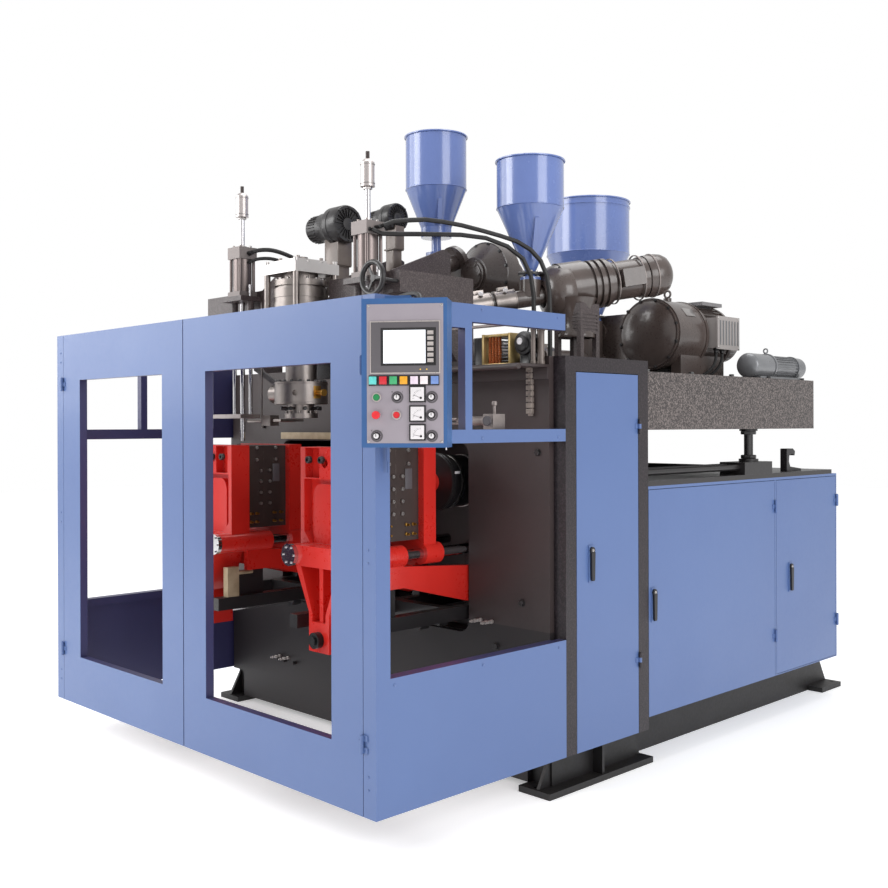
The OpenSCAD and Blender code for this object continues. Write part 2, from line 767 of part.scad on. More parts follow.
module along_upper() {
    translate([0, s1y, s1z]) rotate([sat1_tilt, 0, 0]) children();
}
module along_side() {
    translate([s2x, s2y, s2z]) rotate([0, 0, -sat2_turn]) rotate([sat2_tilt, 0, 0]) children();
}
sat_band_l = 120;
side_start_l = 88;
side_drive_l = 1180;
side_drop = 20;
side_case_r = 133;
drum1_x = 144;
drum1_y = 1690;
drum1_z = 2413;
drum1_r = 190;
s1_len = (1680 - s1y) / cos(sat1_tilt);
s1_hop_l = (hop1_y - s1y) / cos(sat1_tilt);
hop1_rise = 74;
hop1_base = s1z + (hop1_y - s1y) * tan(sat1_tilt) + hop1_rise;
h2x = s2x + hop2_l * cos(sat2_tilt) * sin(sat2_turn);
h2y = s2y + hop2_l * cos(sat2_tilt) * cos(sat2_turn);
hop2_base = s2z + hop2_l * sin(sat2_tilt) + 88;

module extruder_barrels() {
    color(hammer) {
        ry(beam2_y0 + 68, main_gear_y, 0, main_z, main_r);
        along_upper() ry(20, s1_len, 0, 0, sat_r);
        along_side() ry(side_start_l, side_drive_l, 0, 0, sat_r);
        // feed throats under the hoppers
        rz(main_z, main_z + 250, 0, main_feed_y, 90);
        rz(hop1_base - hop1_rise, hop1_base, 0, hop1_y, sat_r + 12);
        rz(hop2_base - 88, hop2_base, h2x, h2y, sat_r + 12);
    }
}

module band(r, y) {
    difference() {
        ry(y, y + heater_l, 0, 0, r + heater_t);
        ry(y - 1, y + heater_l + 1, 0, 0, r + 0.3);
    }
    bx(-14, 14, y + 30, y + heater_l - 30, r + heater_t - 1, r + heater_t + 16);
}
module heater_bands() {
    color(grey) {
        for (i = [0 : 12])
            translate([0, 0, main_z]) band(main_r, band_y0 + i * heater_p);
        along_upper() for (i = [0 : 3]) band(sat_r, sat_band_l + i * heater_p);
        along_side() for (i = [0 : 5]) band(sat_r, 215 + i * heater_p);
    }
}

module hopper_shell(r, z0, zs, z1, tube_r) {
    // outer and inner outline of the sheet, turned about Z
    rotate_extrude($fn = 96) polygon([[tube_r, z0], [tube_r, z0 + 30], [r, zs], [r, z1 - 6],
        [r + 5, z1 - 6], [r + 5, z1], [r - hop_wall, z1], [r - hop_wall, zs + 1],
        [tube_r - hop_wall, z0 + 31], [tube_r - hop_wall, z0]]);
}
module drain_bar(r, zs, zb, rb) {
    // short discharge slide that lies on the cone
    rotate([0, 0, -35]) pxz([[rb + 6, zb + 20], [rb + 34, zb + 6], [r - 20, zs - 70],
        [r - 46, zs - 56]], -11, 11);
}

module main_hopper() {
    color(blue) translate([0, main_feed_y, 0]) {
        hopper_shell(hop_main_r, main_z + 250, 2664, hop_main_z1, 84);
        rotate_extrude($fn = 96) translate([hop_main_r, hop_main_z1 - 44]) square([5, 8]);
    }
}
module satellite_hoppers() {
    color(blue) {
        translate([0, hop1_y, 0]) {
            hopper_shell(hop1_r, 2641, 2878, hop1_z1, 83);
            rotate_extrude($fn = 48) polygon([[83, 2618], [83, 2641], [22, 2641],
                [22, hop1_base], [57, hop1_base], [57, hop1_base + 18],
                [26, hop1_base + 18], [26, 2618]]);
            drain_bar(hop1_r, 2878, 2671, 83);
        }
        translate([h2x, h2y, 0]) {
            hopper_shell(hop2_r, hop2_base + 14, 2700, hop2_z1, 26);
            rotate_extrude($fn = 48) polygon([[26, hop2_base + 14], [54, hop2_base + 14],
                [54, hop2_base], [23, hop2_base], [23, hop2_base + 14]]);
            drain_bar(hop2_r, 2700, hop2_base + 90, 40);
        }
    }
}

module main_gearbox() {
    color(hammer) {
        bx(-230, 230, main_gear_y, deck_y1 - 20, deck_z1, deck_z1 + 40);
        bx(-200, 200, main_gear_y, deck_y1 - 40, deck_z1 + 40, main_z + 290);
        for (x = [-214, 200]) for (z = [deck_z1 + 120, main_z + 100])
            bx(x, x + 14, main_gear_y + 20, deck_y1 - 60, z, z + 12);
        ry(main_gear_y - 14, main_gear_y, 0, main_z + 190, 60);
    }
}

module satellite_gearmotors() {
    color(hammer) {
        along_upper() ry(s1_len, s1_len + 30, 0, 0, 90);
        // upper drive: cone-fronted gear case with a bolted cover, then the motor
        translate([drum1_x, drum1_y, drum1_z]) {
            ry(-12, 0, 0, 0, 84);
            ry(-18, -12, 0, 0, 70);
            for (a = [0 : 60 : 300])
                ry(-24, -18, 58 * cos(a), 58 * sin(a), 7);
            rotate([-90, 0, 0]) cylinder(h = 75, r1 = 100, r2 = drum1_r - 6);
            ry(75, 175, 0, 0, drum1_r);
            ry(175, 200, 0, 0, drum1_r - 25);
            ry(200, 290, 0, 0, drum1_r - 75);
        }
        // side drive: plain case, ribbed part and motor with a domed end
        along_side() translate([0, side_drive_l, 0]) {
            ry(0, 20, 0, 0, 80);
            ry(20, 40, 0, side_drop, side_case_r - 12);
            ry(40, 170, 0, side_drop, side_case_r);
            for (i = [0 : 3])
                ry(170 + i * 36, 190 + i * 36, 0, side_drop, side_case_r - 7);
            ry(170, 320, 0, side_drop, side_case_r - 21);
            ry(320, 490, 0, side_drop, side_case_r - 33);
            ry(490, 515, 0, side_drop, side_case_r - 27);
            ry(515, 612, 0, side_drop, side_case_r - 39);
            translate([0, 612, side_drop]) scale([1, 0.5, 1]) sphere(r = side_case_r - 45, $fn = 40);
            bx(82, 140, 350, 470, side_drop - 45, side_drop + 45);
        }
    }
}

module main_motor() {
    color(black) {
        translate([motor_x, 0, motor_z]) {
            ry(2335, 2350, 0, 0, motor_r - 8);
            ry(2350, 2372, 0, 0, motor_r);
            ry(2372, 2610, 0, 0, motor_r - 6);
            ry(2610, 2630, 0, 0, motor_r);
            ry(2630, 2870, 0, 0, motor_r - 22);
            for (i = [0 : 35])
                rotate([0, i * 10, 0]) translate([-3, 2640, motor_r - 26])
                    cube([6, 220, 14]);
            ry(2870, 2892, 0, 0, motor_r - 10);
            ry(2892, 3060, 0, 0, 128);
            ry(3060, 3082, 0, 0, 106);
            rz(motor_r - 10, motor_r + 12, 0, 2520, 22);
            translate([0, 2520, motor_r + 34]) rotate([90, 0, 0])
                rotate_extrude($fn = 32) translate([19, 0]) circle(r = 6, $fn = 16);
            bx(-100, 140, 2650, 2850, motor_r - 26, motor_r - 6);
        }
        // feet on the deck
        for (x = [-150, 90])
            bx(motor_x + x, motor_x + x + 60, 2420, 2850, deck_z1,
                motor_z - sqrt(motor_r * motor_r - 150 * 150) + 12);
        for (x = [-180, 80])
            bx(motor_x + x, motor_x + x + 100, 2400, 2870, deck_z1, deck_z1 + 20);
    }
    // terminal box on the side
    color(grey) {
        bx(motor_x + motor_r - 40, motor_x + motor_r + 40, 2645, 2855, 2020, 2185);
        bx(motor_x + motor_r + 40, motor_x + motor_r + 48, 2637, 2863, 2012, 2193);
    }
}

module pump_motor() {
    color(grey) translate([enc_half - 100, 0, deck_z1 + pump_r + 4]) {
        ry(2770, 2950, 0, 0, pump_r);
        translate([0, 2770, 0]) scale([1, 0.45, 1]) sphere(r = pump_r, $fn = 40);
        ry(2950, 2966, 0, 0, pump_r + 4);
        ry(2966, 3220, 0, 0, pump_r - 12);
        for (i = [0 : 23])
            rotate([0, i * 15, 0]) translate([-2, 2974, pump_r - 14]) cube([4, 236, 9]);
        ry(3220, 3236, 0, 0, pump_r - 2);
        ry(3236, 3308, 0, 0, pump_r - 8);
        rz(pump_r - 4, pump_r + 10, 0, 2958, 9);
        translate([0, 2958, pump_r + 19]) rotate([90, 0, 0])
            rotate_extrude($fn = 32) translate([12, 0]) circle(r = 4, $fn = 16);
        bx(-58, -26, 2800, 3290, -pump_r - 4, 10 - pump_r);
        bx(26, 58, 2800, 3290, -pump_r - 4, 10 - pump_r);
    }
}

module extruder_supports() {
    color(hammer) {
        // cradle of the upper satellite
        both() difference() {
            pyz([[bulk_y + 12, frame_z1], [bulk_y + 12, 2380], [1420, 2520], [1470, 2500],
                [1470, frame_z1]], 170, 190);
            pyz([[1180, 2090], [1180, 2290], [1390, 2370], [1390, 2090]], 169, 171);
        }
        for (y = [1090, 1400]) difference() {
            bx(-170, 170, y, y + 20, 2110, y * 0.39 + 1925);
            along_upper() ry(-200, 1200, 0, 0, y < 1200 ? sat_r + heater_t + 18 : sat_r + 0.3);
        }
        // saddles of the main barrel, the first between two heater bands
        for (y = [band_y0 + 5 * heater_p - (heater_p - heater_l) / 2 - 6, 2750]) difference() {
            bx(-80, 80, y, y + 12, y < frame_y1 ? frame_z1 : deck_z1, main_z - 20);
            ry(y - 1, y + 13, 0, main_z, main_r + 0.3);
        }
    }
    side_pedestal();
}

// Pedestal of the side satellite: window below, louvred box above
module side_pedestal() {
    color(hammer) {
        for (x = [700, 844]) for (y = [1705, 1830])
            bx(x, x + 26, y, y + 26, deck_z1, 2060);
        difference() {
            bx(700, 870, 1705, 1856, 2060, 2210);
            along_side() ry(side_drive_l - 40, side_drive_l + 200, 0, side_drop, side_case_r + 0.3);
            for (z = [2075 : 18 : 2147])
                bx(716, 854, 1704, 1709, z, z + 8);
            for (z = [2075 : 18 : 2147])
                bx(866, 871, 1720, 1840, z, z + 8);
        }
        bx(726, 820, 1711, 1726, deck_z1, deck_z1 + 60);
    }
}

module blower(y0, z, r, l) {
    translate([0, y0, z]) {
        ry(0, l * 0.14, 0, 0, r * 0.70);
        ry(l * 0.14, l * 0.42, 0, 0, r * 0.78);
        for (i = [0 : 23])
            rotate([0, i * 15, 0]) translate([-2, 4, r * 0.74]) cube([4, l * 0.36, r * 0.06]);
        ry(l * 0.42, l * 0.5, 0, 0, r * 0.9);
        ry(l * 0.5, l, 0, 0, r);
        for (a = [0 : 60 : 300])
            ry(l * 0.47, l * 0.5 + 1, r * 0.82 * cos(a), r * 0.82 * sin(a), r * 0.07);
    }
}
module barrel_blowers() {
    color(black) {
        blower(755, 2600, 93, 195);
        ry(1140, 1210, 0, 2670, 30);
        ry(1210, 1270, 0, 2670, 78);
    }
    // air ducts on clamps round the bare barrel between its heater bands
    color(grey) {
        for (l = [sat_band_l - 32, sat_band_l + 3 * heater_p - heater_p / 2 + heater_l / 2 - 5])
            along_upper() difference() {
                ry(l, l + 10, 0, 0, sat_r + heater_t + 23);
                ry(l - 1, l + 11, 0, 0, sat_r + 0.3);
            }
        difference() {
            bx(-40, 40, 825, 930, s1z + 80, 2530);
            along_upper() ry(-200, 1200, 0, 0, sat_r + heater_t + 20);
        }
        difference() {
            bx(-25, 25, 1215, 1265, s1z + 120, 2605);
            along_upper() ry(-200, 1200, 0, 0, sat_r + heater_t + 20);
        }
    }
}

// Behind the upper right opening

module shuttle_rails() {
    color(black) {
        bx(-col_x0, col_x0, frame_y0, frame_y1 - 27, 60, cut_z0 + 4);
    }
    color(steel) for (y = [frame_y0 + 120, frame_y1 - 160])
        bx(-col_x0, col_x0, y, y + rail_w, cut_z0 + 4, cut_z0 + 4 + rail_h);
}

module pneumatics() {
    // ledge on the bulkhead
    color(hammer) bx(560, bulk_half, bulk_y - 190, bulk_y, 1850, 1862);
    // brass frame with copper tubes
    color([0.72, 0.56, 0.25]) {
        for (x = [700, 850])
            bx(x, x + 12, bulk_y - 150, bulk_y - 30, 1862, 2010);
        bx(712, 850, bulk_y - 150, bulk_y - 30, 1995, 2007);
        bx(712, 850, bulk_y - 150, bulk_y - 30, 1862, 1872);
        for (x = [732 : 24 : 828])
            rz(1872, 1995, x, bulk_y - 90, 9);
    }
    // black round unit with its white gauge
    color(black) {
        ry(bulk_y - 150, bulk_y, 960, 1930, 62);
    }
    color([0.95, 0.95, 0.95]) ry(bulk_y - 158, bulk_y - 150, 968, 1940, 22);
    // grey cylinders
    color(grey) for (x = [1055, 1120])
        rz(1862, 2040, x, bulk_y - 60, 26);
    color(grey) rx(560, 1180, bulk_y - 175, 2030, 7);
    color(grey) for (x = [580, 1150])
        bx(x, x + 14, bulk_y - 184, bulk_y - 168, 1862, 2039);
    // cable chain
    color(grey) for (z = [1650 : 26 : 1832])
        bx(1080, 1116, bulk_y - 26, bulk_y, z, z + 22);
    color(grey) bx(1084, 1112, bulk_y - 12, bulk_y, 1640, 1850);
    // valve with its two pipes
    color(steel) {
        bx(1150, 1212, bulk_y - 380, bulk_y - 300, mid_rail_z + mid_rail_h, 1655);
        rz(1655, 1700, 1180, bulk_y - 340, 7);
        rz(1700, 1712, 1180, bulk_y - 340, 13);
        bx(1212, guard_in, bulk_y - 380, bulk_y - 300, mid_rail_z + mid_rail_h - 30,
            mid_rail_z + mid_rail_h);
        bx(1150, 1212, bulk_y - 380, bulk_y - 300, mid_rail_z + mid_rail_h - 30,
            mid_rail_z + mid_rail_h);
    }
    // trough over the cut-out
    color([0.78, 0.70, 0.55]) bx(-700, -250, bulk_y - 30, bulk_y, cut_z1 + 8, cut_z1 + 44);
}

hose_r = 11;
hose_1 = [[589, 635, 2490], [604, 637, 2492], [612, 690, 2515], [618, 780, 2532],
    [628, 870, 2545], [646, 965, 2545], [682, 1055, 2535], [730, 1140, 2515],
    [770, 1230, 2495], [800, 1310, 2475], [825, 1380, 2440], [845, 1430, 2390],
    [858, 1460, 2320], [862, 1475, 2240], [862, 1478, 2160], [862, 1478, 2060],
    [862, 1478, 1960], [862, 1478, 1899.3]];
hose_2 = [[555, 600, 2478], [570, 602, 2476], [588, 640, 2458], [596, 730, 2466],
    [604, 840, 2478], [622, 950, 2488], [658, 1075, 2496], [710, 1190, 2488],
    [755, 1290, 2455], [785, 1370, 2400], [800, 1410, 2320], [805, 1424, 2230],
    [805, 1426, 2130], [805, 1426, 2010], [805, 1426, 1899.3]];
function unit3(a) = a / norm(a);
function tangent(p, i) = unit3(p[min(i + 1, len(p) - 1)] - p[max(i - 1, 0)]);
function side3(t) = unit3(cross(t, abs(t[0]) > 0.9 ? [0, 1, 0] : [1, 0, 0]));
function ring_pts(p, i, r, n) = let (t = tangent(p, i), u = side3(t), v = cross(t, u))
    [for (k = [0 : n - 1]) p[i] + r * cos(360 * k / n) * u + r * sin(360 * k / n) * v];
module hose(p, r, n) {
    m = len(p);
    pts = [for (i = [0 : m - 1]) each ring_pts(p, i, r, n)];
    faces = concat(
        [[for (k = [0 : n - 1]) k]],
        [for (i = [0 : m - 2]) for (k = [0 : n - 1])
            [i * n + k, (i + 1) * n + k, (i + 1) * n + (k + 1) % n, i * n + (k + 1) % n]],
        [[for (k = [n - 1 : -1 : 0]) (m - 1) * n + k]]);
    polyhedron(points = pts, faces = faces, convexity = 6);
}
module hoses() {
    color(black) {
        hose(hose_1, hose_r, 8);
        hose(hose_2, hose_r, 8);
    }
}

// Control box, drawn in the face's own frame: x along the face, y inward, z up

module at_face() {
    translate([cb_x, cb_y, cb_z]) rotate([0, 0, cb_turn]) children();
}
function back_at(s) = [cb_x + s * cos(cb_turn) - cb_d * sin(cb_turn),
    cb_y + s * sin(cb_turn) + cb_d * cos(cb_turn)];

module control_box() {
    color(dark_blue) {
        at_face() difference() {
            bx(0, cb_w, 0, cb_d, 0, cb_h);
            bx(10, cb_w - 10, face_t, cb_d - 8, 10, cb_h - 10);
            bx(19, cb_w - 13, -1, face_t + 1, 15, cb_h - 20);
        }
        at_face() bx(cb_w * 0.25, cb_w * 0.55, 40, 80, cb_h, cb_h + 14);
        // two arms to the corner post
        for (z = [cb_z + 60, cb_z + cb_h - 130])
            pxy([[enc_half, back_at(80)[1]], back_at(80), back_at(165),
                [enc_half, back_at(165)[1]]], z, z + 50);
    }
}

// Centres of the controls on the face: across and up
btn_green = [54, 173];
btn_red = [124, 112];
btn_stop = [54, 112];
knob_at = [[126, 173], [246, 173], [246, 112], [54, 40], [246, 40]];

module control_panel() {
    color([0.72, 0.70, 0.70]) at_face() {
        difference() {
            bx(19, cb_w - 13, -1, face_t, 15, cb_h - 20);
            for (p = [btn_green, btn_red, btn_stop])
                ry(-2, face_t + 1, p[0], p[1], 6 + play);
            for (p = knob_at)
                ry(-2, face_t + 1, p[0], p[1], 4 + play);
        }
        for (p = [btn_green, btn_red, btn_stop]) difference() {
            ry(-7, -1, p[0], p[1], button_r + 4);
            ry(-8, 0, p[0], p[1], button_r + 0.4);
        }
        for (p = knob_at) difference() {
            ry(-5, -1, p[0], p[1], knob_r + 3);
            ry(-6, 0, p[0], p[1], 4 + play);
        }
    }
}

module panel_instruments() {
    at_face() {
        // operator screen in its bezel, with six keys beside it
        color([0.80, 0.78, 0.76]) difference() {
            bx(35, 272, -7, -1, 258, 431);
            bx(79, 226, -8, -3, 289, 403);
        }
        color([0.62, 0.70, 0.74]) bx(79, 226, -4, -3, 289, 403);
        color(grey) for (i = [0 : 5])
            bx(232, 253, -10, -7, 292 + i * 19, 305 + i * 19);
        // row of square lamps
        color(black) bx(28, 270, -3, -1, 214, 248);
        color("white") for (s = [41, 77, 113, 149, 186, 220, 257])
            bx(s - 12, s + 12, -9, s == 41 || s == 257 ? -3 : -3, 219, 243);
        // three square meters
        for (z = [156, 89, 25]) {
            color(black) bx(169, 224, -6, -1, z, z + 55);
            color("white") bx(174, 219, -8, -6, z + 6, z + 50);
        }
    }
}

module push_button(p, r, h) {
    cap = -1.3 - button_travel;
    at_face() {
        ry(-h, cap, p[0], p[1], r);
        ry(cap, face_t + 12, p[0], p[1], 6);
        ry(face_t + 12, face_t + 15, p[0], p[1], 9);
    }
}
module green_button() {
    color([0.2, 0.6, 0.35]) push_button(btn_green, button_r, 12);
}
module red_button() {
    color(red) push_button(btn_red, button_r, 12);
}
module emergency_stop() {
    color(red) at_face() {
        ry(-22, -8 - button_travel, btn_stop[0], btn_stop[1], 14);
        ry(-8 - button_travel, -1.3 - button_travel, btn_stop[0], btn_stop[1], button_r - 1);
        ry(-1.3 - button_travel, face_t + 12, btn_stop[0], btn_stop[1], 6);
        ry(face_t + 12, face_t + 15, btn_stop[0], btn_stop[1], 9);
    }
}
module selector_knob(i) {
    p = knob_at[i];
    at_face() {
        color(black) ry(-11, -5.3, p[0], p[1], knob_r);
        color([0.9, 0.9, 0.9]) ry(-20, -11, p[0], p[1], knob_r - 2.5);
        color(black) bx(p[0] - 1, p[0] + 1, -21, -20, p[1], p[1] + knob_r - 3);
        color(black) ry(-5.3, face_t + 8, p[0], p[1], 4);
        color(black) ry(face_t + 8, face_t + 11, p[0], p[1], 7);
    }
}

// Doors

module front_leaf(x0, x1) {
    difference() {
        bx(x0, x1, 0, leaf_t, enc_z0, enc_z1);
        bx(x0 + stile_w - 4, x1 - stile_w, -1, leaf_t + 1, enc_z0 + leaf_low_h,
            enc_z1 - leaf_top_h);
    }
    // leaf knuckle at the outer edge
    for (z = [440, 1820]) {
        translate([post_in, hinge_y, z - 10.7]) difference() {
            cylinder(h = 21.4, r = knuckle_r);
            translate([0, 0, -1]) cylinder(h = 24, r = pin_r + play);
        }
        bx(post_in - 26, post_in - 4, -3.5, 0, z - 10.7, z + 10.7);
        bx(post_in - 9, post_in - 5, hinge_y + 1, -3, z - 10.7, z + 10.7);
    }
}
module front_door_left() {
    color(blue) mirror([1, 0, 0]) front_leaf(leaf_gap - seam_x, post_in - leaf_gap);
}
module front_door_right() {
    color(blue) front_leaf(seam_x + leaf_gap, post_in - leaf_gap);
}

// Cabinet door with a plate for its swing handle; y is the handle's place
module cab_leaf(y0, y1, z0, z1, hy, hz) {
    difference() {
        bx(enc_half - cab_door_t, enc_half, y0, y1, z0, z1);
        rx(enc_half - cab_door_t - 1, enc_half + 6, hy, hz, 6 + play);
    }
    difference() {
        bx(enc_half, enc_half + 5, hy - 19, hy + 19, hz - 140, hz + 22);
        rx(enc_half - 1, enc_half + 6, hy, hz, 6 + play);
    }
}
module swing_handle(hy, hz) {
    x = enc_half + 5.3;
    rx(x, x + 9, hy, hz, 15);
    pyz([[hy - 13, hz - 8], [hy + 13, hz - 8], [hy + 10, hz - 128], [hy + 6, hz - 134],
        [hy - 6, hz - 134], [hy - 10, hz - 128]], x + 2, x + 12);
    rx(enc_half - cab_door_t - 8, x, hy, hz, 6);
    bx(enc_half - cab_door_t - 8, enc_half - cab_door_t - 3, hy - 9, hy + 9, hz - 40, hz);
}
handle_c = [door_y0 + 97, 1048];
handle_m = [cab_d1_y0 + 34, 812];
handle_s = [cab_d2_y0 + 150, 812];

module column_door() {
    color(blue) {
        cab_leaf(door_y0, door_y1, enc_z0, col_door_z1, handle_c[0], handle_c[1]);
        for (z = [478, 1560]) translate([0, door_y1 + door_gap, z]) leaf_knuckle();
    }
}
module rear_door_main() {
    color(blue) {
        cab_leaf(cab_d1_y0, cab_d1_y1, cab_z0, cab_door_z1, handle_m[0], handle_m[1]);
        for (z = [416, 1120]) translate([0, cab_d1_y1 + door_gap, z]) leaf_knuckle();
    }
}
module rear_door_small() {
    color(blue) {
        cab_leaf(cab_d2_y0, cab_d2_y1, cab_z0 + 8, cab_door_z1, handle_s[0], handle_s[1]);
        for (z = [416, 1120]) translate([0, cab_d2_y1 + door_gap, z]) leaf_knuckle();
    }
}
module handle_column() {
    color(black) swing_handle(handle_c[0], handle_c[1]);
}
module handle_rear_main() {
    color(black) swing_handle(handle_m[0], handle_m[1]);
}
module handle_rear_small() {
    color(black) swing_handle(handle_s[0], handle_s[1]);
}

// Clamp stations

module at_unit(s) {
    translate([s * unit_x, 0, 0]) children();
}

module carriage(s) {
    rail_top = cut_z0 + 4 + rail_h;
    rail_y = [frame_y0 + 120, frame_y1 - 160];
    b0 = tie_x - 40;
    bz0 = beam_z1 - beam_h;
    color(black) at_unit(s) {
        both() {
            bx(b0, b0 + beam_w, leg_y0, frame_y1 - 90, bz0, beam_z1);
            bx(b0, arm_x0 - 4, pf_y0 + 50, part_y - 5, beam_z1, 880);
            // rod bearing behind the cut-out
            difference() {
                union() {
                    bx(b0, b0 + beam_w - 4, bulk_y + 45, bulk_y + 105, beam_z1, tie_z);
                    ry(bulk_y + 45, bulk_y + 105, tie_x, tie_z, tie_r + 17);
                }
                ry(bulk_y + 44, bulk_y + 106, tie_x, tie_z, tie_r + slide_play);
            }
        }
        // bearing of the lower rod on a cross member
        difference() {
            union() {
                bx(-b0, b0, bulk_y - 120, bulk_y - 65, bz0 - 25, beam_z1);
                ry(bulk_y - 120, bulk_y - 65, 0, low_tie_z, low_tie_r + 16);
            }
            ry(bulk_y - 121, bulk_y - 64, 0, low_tie_z, low_tie_r + slide_play);
        }
        // shoes on the rails
        for (y = rail_y) difference() {
            bx(-b0 - beam_w, b0 + beam_w, y - 30, y + rail_w + 30, rail_top - rail_h + 4,
                bz0);
            bx(-b0 - beam_w - 1, b0 + beam_w + 1, y - 0.3, y + rail_w + 0.3,
                rail_top - rail_h, rail_top + 0.3);
        }
        // rear frame with the clamp cylinder
        bx(-b0 - beam_w, b0 + beam_w, frame_y1 - 150, frame_y1 - 90, beam_z1, clamp_z + 140);
        difference() {
            union() {
                ry(bulk_y - 10, frame_y1 - 150, 0, clamp_z, clamp_r);
                ry(bulk_y - 14, bulk_y + 40, 0, clamp_z, clamp_r + 10);
            }
            ry(bulk_y - 15, frame_y1 - 170, 0, clamp_z, piston_r + slide_play);
        }
    }
}

// Outline of a platen, of the leg under the front platen and of the pocket in the leg
function platen_pts() = [[-platen_half, platen_z1], [-platen_half, tie_z + 45],
    [-160, tie_z - 55], [160, tie_z - 55], [platen_half, tie_z + 45], [platen_half, platen_z1]];
function leg_outline() = [[-185, tie_z + 45], [-160, tie_z - 55], [-70, 785],
    [-70, low_tie_z - 55], [70, low_tie_z - 55], [70, 785], [160, tie_z - 55],
    [185, tie_z + 45]];
function leg_pocket(w) = [[-160 + w, tie_z - 45], [-70 + w * 0.7, 780], [-70 + w * 0.7, 745],
    [70 - w * 0.7, 745], [70 - w * 0.7, 780], [160 - w, tie_z - 45]];

module front_platen(s) {
    y1 = mf_y0;
    color(red) at_unit(s) difference() {
        union() {
            difference() {
                pxz(platen_pts(), pf_y0, y1);
                // pockets that leave flanges and the raised arch
                both() pxz([[platen_half - 34, platen_z1 - 4], [platen_half - 34, 1368],
                    [84, 1368], [84, platen_z1 - 4]], pf_y0 - 1, y1 - 62);
                pxz([[26 - platen_half, 1362], [26 - platen_half, 1125],
                    [-150, tie_z + 50], [150, tie_z + 50], [platen_half - 26, 1125],
                    [platen_half - 26, 1362]], pf_y0 - 1, y1 - 62);
            }
            // raised panel with rounded shoulders
            translate([0, y1 - 61, 0]) rotate([90, 0, 0]) linear_extrude(height = 26)
                union() {
                    translate([-150, tie_z + 40]) square([300, 255 - 40]);
                    translate([-100, tie_z + 40]) square([200, 275]);
                    for (x = [-100, 100]) translate([x, tie_z + 255]) scale([0.5, 0.6])
                        circle(r = 100);
                }
            // leg that stands forward, with its pocket and centre rib
            difference() {
                pxz(leg_outline(), leg_y0, y1);
                pxz(leg_pocket(34), leg_y0 - 1, y1 - 70);
            }
            pxz([[-13, tie_z - 30], [-13, 740], [13, 740], [13, tie_z - 30]], leg_y0 + 14,
                y1 - 54);
            for (x = [-tie_x, tie_x])
                ry(leg_y0, part_y + 20, x, tie_z, hub_r);
            // side arms that run to the rear under the rear platen's hubs
            both() pyz([[mf_y0 - 10, 885], [mf_y0 - 10, tie_z], [part_y + 20, tie_z],
                [part_y + 20, tie_z - 46], [arm_y1, tie_z - 77], [arm_y1, 785],
                [bulk_y, 785], [part_y + 20, 885]], arm_x0, arm_x1);
        }
        for (x = [-tie_x, tie_x])
            ry(leg_y0 - 1, part_y + 21, x, tie_z, tie_r + play);
        ry(leg_y0 - 1, y1 + 1, 0, low_tie_z, low_tie_r + play);
        // fixing holes of the mould plate
        for (x = [-46, 46]) {
            ry(pf_y0 - 1, y1 - 40, x, 1434, 13);
            ry(pf_y0 - 1, pf_y0 + 14, x, 1434, 21);
        }
    }
}

module rear_platen(s) {
    y0 = mr_y1;
    color(red) at_unit(s) difference() {
        union() {
            difference() {
                pxz(platen_pts(), y0, pr_y1);
                both() pxz([[platen_half - 34, platen_z1 - 30], [platen_half - 34, 1125],
                    [150, tie_z + 50], [80, tie_z + 50], [80, platen_z1 - 30]],
                    y0 + 40, pr_y1 + 1);
            }
            for (x = [-tie_x, tie_x])
                ry(y0, pr_y1 + 30, x, tie_z, hub_r);
            ry(pr_y1, pr_y1 + 20, 0, clamp_z, piston_r + 30);
        }
        for (x = [-tie_x, tie_x])
            ry(y0 - 1, pr_y1 + 31, x, tie_z, tie_r + slide_play);
    }
    color(steel) at_unit(s) ry(pr_y1 + 20, bulk_y + 200, 0, clamp_z, piston_r);
}

module tie_rods(s) {
    color(steel) at_unit(s) {
        for (x = [-tie_x, tie_x]) {
            ry(leg_y0 - 20, bulk_y + 280, x, tie_z, tie_r);
            ry(leg_y0 - 20, leg_y0, x, tie_z, hub_r + 2);
            bolts_y(6, tie_r + 13, leg_y0 - 27, leg_y0 - 20, x, tie_z, 5.5);
        }
        ry(leg_y0 - 40, frame_y0 + 80, 0, low_tie_z, low_tie_r);
        ry(leg_y0 - 30, leg_y0, 0, low_tie_z, low_tie_r + 15);
    }
}

// Half of the cavity, turned about the unit's vertical axis
module cavity() {
    translate([0, part_y, 0]) rotate_extrude($fn = 64) polygon([[0, mould_z0 + 60],
        [cavity_r - 12, mould_z0 + 60], [cavity_r, mould_z0 + 72], [cavity_r, mould_z1 - 130],
        [cavity_r - 14, mould_z1 - 96], [neck_r + 8, mould_z1 - 70], [neck_r, mould_z1 - 62],
        [neck_r, mould_z1 + 1], [0, mould_z1 + 1]]);
}
module mould_bolts(y, wide) {
    for (z = wide) rx(mould_half, mould_half + 1.6, y, z, 9);
}
module mould_front(s) {
    color(black) at_unit(s) {
        difference() {
            union() {
                bx(-mould_half, mould_half, mf_y0, part_y - 0.1, mould_z0, mould_z1);
            }
            cavity();
            for (m = [-1, 1], z = [mould_z0 + 40])
                ry(part_y - 20, part_y, m * 120, z, 12);
        }
        both() {
            mould_bolts(part_y - 45, [mould_z1 - 70, mould_z1 - 10]);
            mould_bolts(part_y - 20, [1210, 1265, 1320, 1375]);
        }
    }
}
module mould_rear(s) {
    color(black) at_unit(s) {
        difference() {
            bx(-mould_half, mould_half, part_y + 0.1, mr_y1, mould_z0, mould_z1);
            cavity();
        }
        both() {
            mould_bolts(part_y + 70, [mould_z1 - 70, mould_z1 - 10]);
            mould_bolts(part_y + 34, [1210, 1265, 1320, 1375]);
            bx(mould_half, mould_half + 1.6, part_y + 52, part_y + 96, 1316, 1410);
        }
    }
}

